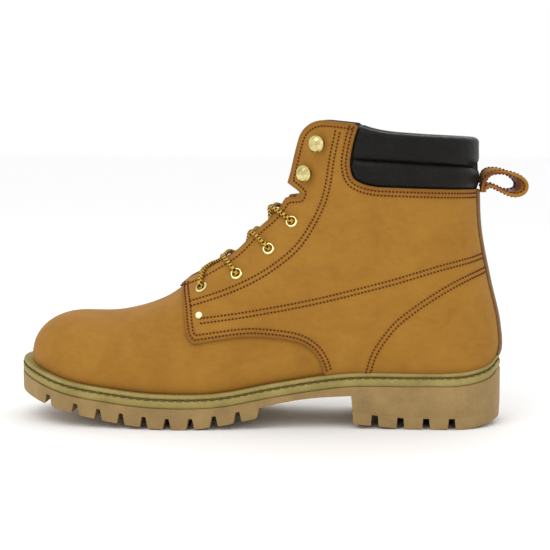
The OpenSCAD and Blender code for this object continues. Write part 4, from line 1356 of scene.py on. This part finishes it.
def granular(name, dark, base, light, size=1.6, depth=0.15, rough=(0.8, 0.95)):
    """Cork, fibre board or foam: grains of a size in mm pressed together."""
    m = Shade(name, Roughness=0.88)
    grains = m.cells(size)
    fine = m.noise(size * 0.4, 4, 0.7)
    tone = m.math(grains, m.span(fine, 0.2, 0.8, 0.6, 1.3))
    m.colour(m.ramp(tone, [(0.05, dark), (0.35, base), (0.8, light)]))
    m.rough(fine, *rough)
    m.bump((grains, -depth), (fine, depth * 0.4))
    return m.material


# Each finish: how it is made, its material's name, its colours on screen, and other settings
FINISHES = {
    "nubuck": (nubuck, "nubuck", [(144, 98, 33), (156, 110, 39), (166, 121, 47), (112, 64, 22)], {}),
    "suede_back": (nubuck, "suede_back", [(120, 78, 34), (150, 104, 50), (168, 122, 66), (110, 66, 30)], {}),
    "dark_leather": (smooth_leather, "dark_leather", [(82, 52, 18), (110, 74, 28), (130, 92, 38)], {}),
    "black_leather": (smooth_leather, "black_leather", [(9, 8, 6), (17, 16, 13), (28, 26, 22)], {}),
    "loop_lining": (smooth_leather, "loop_lining", [(92, 44, 22), (128, 66, 34), (150, 84, 46)], {}),
    "outsole": (rubber, "outsole_rubber", [(128, 103, 62), (148, 121, 74), (162, 135, 88)], {}),
    "midsole": (rubber, "midsole_rubber", [(122, 108, 52), (148, 132, 72), (166, 150, 90)], {}),
    "brass": (metal, "brass", [(222, 208, 148), (172, 154, 92)], {}),
    "pale_brass": (metal, "pale_brass", [(240, 226, 168), (206, 184, 118)], {}),
    "steel": (metal, "steel", [(178, 180, 184), (130, 132, 136)], {"rough": (0.25, 0.45)}),
    "yarn_gold": (cord_yarn, "yarn_gold", [(150, 106, 24), (222, 176, 56)], {}),
    "yarn_dark": (cord_yarn, "yarn_dark", [(12, 8, 5), (34, 22, 12)], {}),
    "thread": (thread, "seam_thread", [(66, 24, 8), (112, 46, 18)], {}),
    "welt_thread": (thread, "welt_thread", [(74, 62, 30), (112, 96, 50)], {}),
    "lining": (woven, "lining_fabric", [(16, 16, 16), (34, 33, 32), (58, 56, 54)], {}),
    "drill": (woven, "drill_fabric", [(150, 138, 112), (190, 178, 150), (214, 204, 180)], {"pitch": 1.0}),
    "footbed": (woven, "footbed_cloth", [(18, 18, 20), (42, 42, 45), (70, 70, 74)], {"pitch": 1.1}),
    "cork": (granular, "cork", [(96, 66, 38), (146, 108, 68), (178, 140, 96)], {"size": 2.2}),
    "fibreboard": (granular, "fibreboard", [(150, 132, 102), (184, 166, 134), (206, 190, 160)],
                   {"size": 0.8}),
    "foam": (granular, "foam", [(196, 186, 150), (222, 214, 184), (238, 232, 208)], {"size": 0.9}),
    "plastic": (rubber, "edge_plastic", [(22, 22, 23), (36, 36, 38), (52, 52, 54)], {"rough": (0.35, 0.5)}),
    "aglet": (rubber, "aglet_plastic", [(24, 18, 13), (40, 30, 22), (58, 44, 32)], {"rough": (0.2, 0.32)}),
}


def build_materials():
    made = {}
    for look, (make, name, colours, settings) in FINISHES.items():
        made[look] = make(name, *[linear(*colour) for colour in colours], **settings)
    return made


CAD_LOOKS = {
    "cork_filler": "cork", "shank": "steel", "insole_board": "fibreboard", "steel_toe_cap": "steel",
    "toe_cap_edge_strip": "plastic", "heel_counter": "fibreboard", "ankle_padding_lateral": "foam",
    "ankle_padding_medial": "foam", "vamp_lining": "drill", "eyelets_lateral": "pale_brass",
    "eyelets_medial": "pale_brass", "lacing_studs_lateral": "brass", "lacing_studs_medial": "brass",
    "quarter_rivets": "pale_brass",
}


def dress_cad_nodes(made):
    for node, look in CAD_LOOKS.items():
        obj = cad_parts[node]
        obj.data.materials.clear()
        obj.data.materials.append(made[look])


# ---- studio ----

CAMERA_AZIMUTH, CAMERA_AWAY, CAMERA_HEIGHT, CAMERA_PITCH = 5.0, 1.0, 0.2, 6.07
CAMERA_LENS, CAMERA_YAW = 100.2, -0.06


def make_camera():
    data = bpy.data.cameras.new("camera")
    data.lens = CAMERA_LENS
    data.clip_start = 0.05
    cam = bpy.data.objects.new("camera", data)
    a = math.radians(CAMERA_AZIMUTH)
    cam.location = (CAMERA_AWAY * math.sin(a), -CAMERA_AWAY * math.cos(a), CAMERA_HEIGHT)
    cam.rotation_euler = Euler((math.radians(90 - CAMERA_PITCH), 0, a + math.radians(CAMERA_YAW)))
    bpy.context.scene.collection.objects.link(cam)
    bpy.context.scene.camera = cam


def area_light(name, place_at, target, size, power):
    data = bpy.data.lights.new(name, "AREA")
    data.shape = "RECTANGLE"
    data.size, data.size_y = size
    data.energy = power
    light = bpy.data.objects.new(name, data)
    light.location = place_at
    light.rotation_euler = (Vector(target) - Vector(place_at)).to_track_quat("-Z", "Y").to_euler()
    bpy.context.scene.collection.objects.link(light)


FLOOR_HALF = 6.0
FLOOR_TONES = [(0.3, (0.965, 0.965, 0.965)), (0.7, (0.98, 0.98, 0.98))]


def make_studio():
    """A pale floor under soft light from above, in front and both sides."""
    mesh = bpy.data.meshes.new("floor")
    corners = [(-1, -1), (1, -1), (1, 1), (-1, 1)]
    mesh.from_pydata([(x * FLOOR_HALF, y * FLOOR_HALF, 0) for x, y in corners], [], [(0, 1, 2, 3)])
    floor = bpy.data.objects.new("floor", mesh)
    bpy.context.scene.collection.objects.link(floor)
    paper = Shade("paper", Roughness=0.9)
    grain = paper.noise(3, 3)
    paper.colour(paper.ramp(grain, FLOOR_TONES))
    mesh.materials.append(paper.material)
    world = bpy.data.worlds.new("studio")
    world.use_nodes = True
    world.node_tree.nodes["Background"].inputs["Color"].default_value = (1, 1, 1, 1)
    world.node_tree.nodes["Background"].inputs["Strength"].default_value = 1.0
    bpy.context.scene.world = world
    bpy.context.scene.view_settings.view_transform = "Standard"
    area_light("key", (-0.5, -0.8, 1.2), (0, 0, 0.08), (0.9, 0.9), 5)
    area_light("fill", (0.9, -0.8, 0.6), (0, 0, 0.08), (0.8, 0.8), 1)
    area_light("back", (0.2, 1.0, 0.9), (0, 0, 0.1), (1.0, 0.6), 2)


def build():
    make_camera()
    looks = build_materials()
    make_laces((looks["yarn_gold"], looks["yarn_dark"]), looks["aglet"])
    dress_cad_nodes(looks)
    make_vamp(looks["nubuck"])
    for name, side in SIDES.items():
        make_quarter("quarter_" + name, side, looks["nubuck"])
        make_lining("quarter_lining_" + name, side, looks["lining"])
        make_facing("eyestay_facing_" + name, side, looks["suede_back"])
        make_gusset("tongue_gusset_" + name, side, looks["suede_back"])
        make_quarter_sewing("quarter_" + name, side, looks["thread"])
    make_backstay(looks["dark_leather"])
    make_collar(looks["black_leather"])
    make_tongue(looks["nubuck"])
    make_pull_loop(looks["nubuck"], looks["loop_lining"], looks["thread"])
    make_outsole(looks["outsole"])
    make_midsole(looks["midsole"])
    make_welt(looks["midsole"])
    make_welt_sewing(looks["welt_thread"])
    make_footbed(looks["footbed"])
    make_studio()


build()
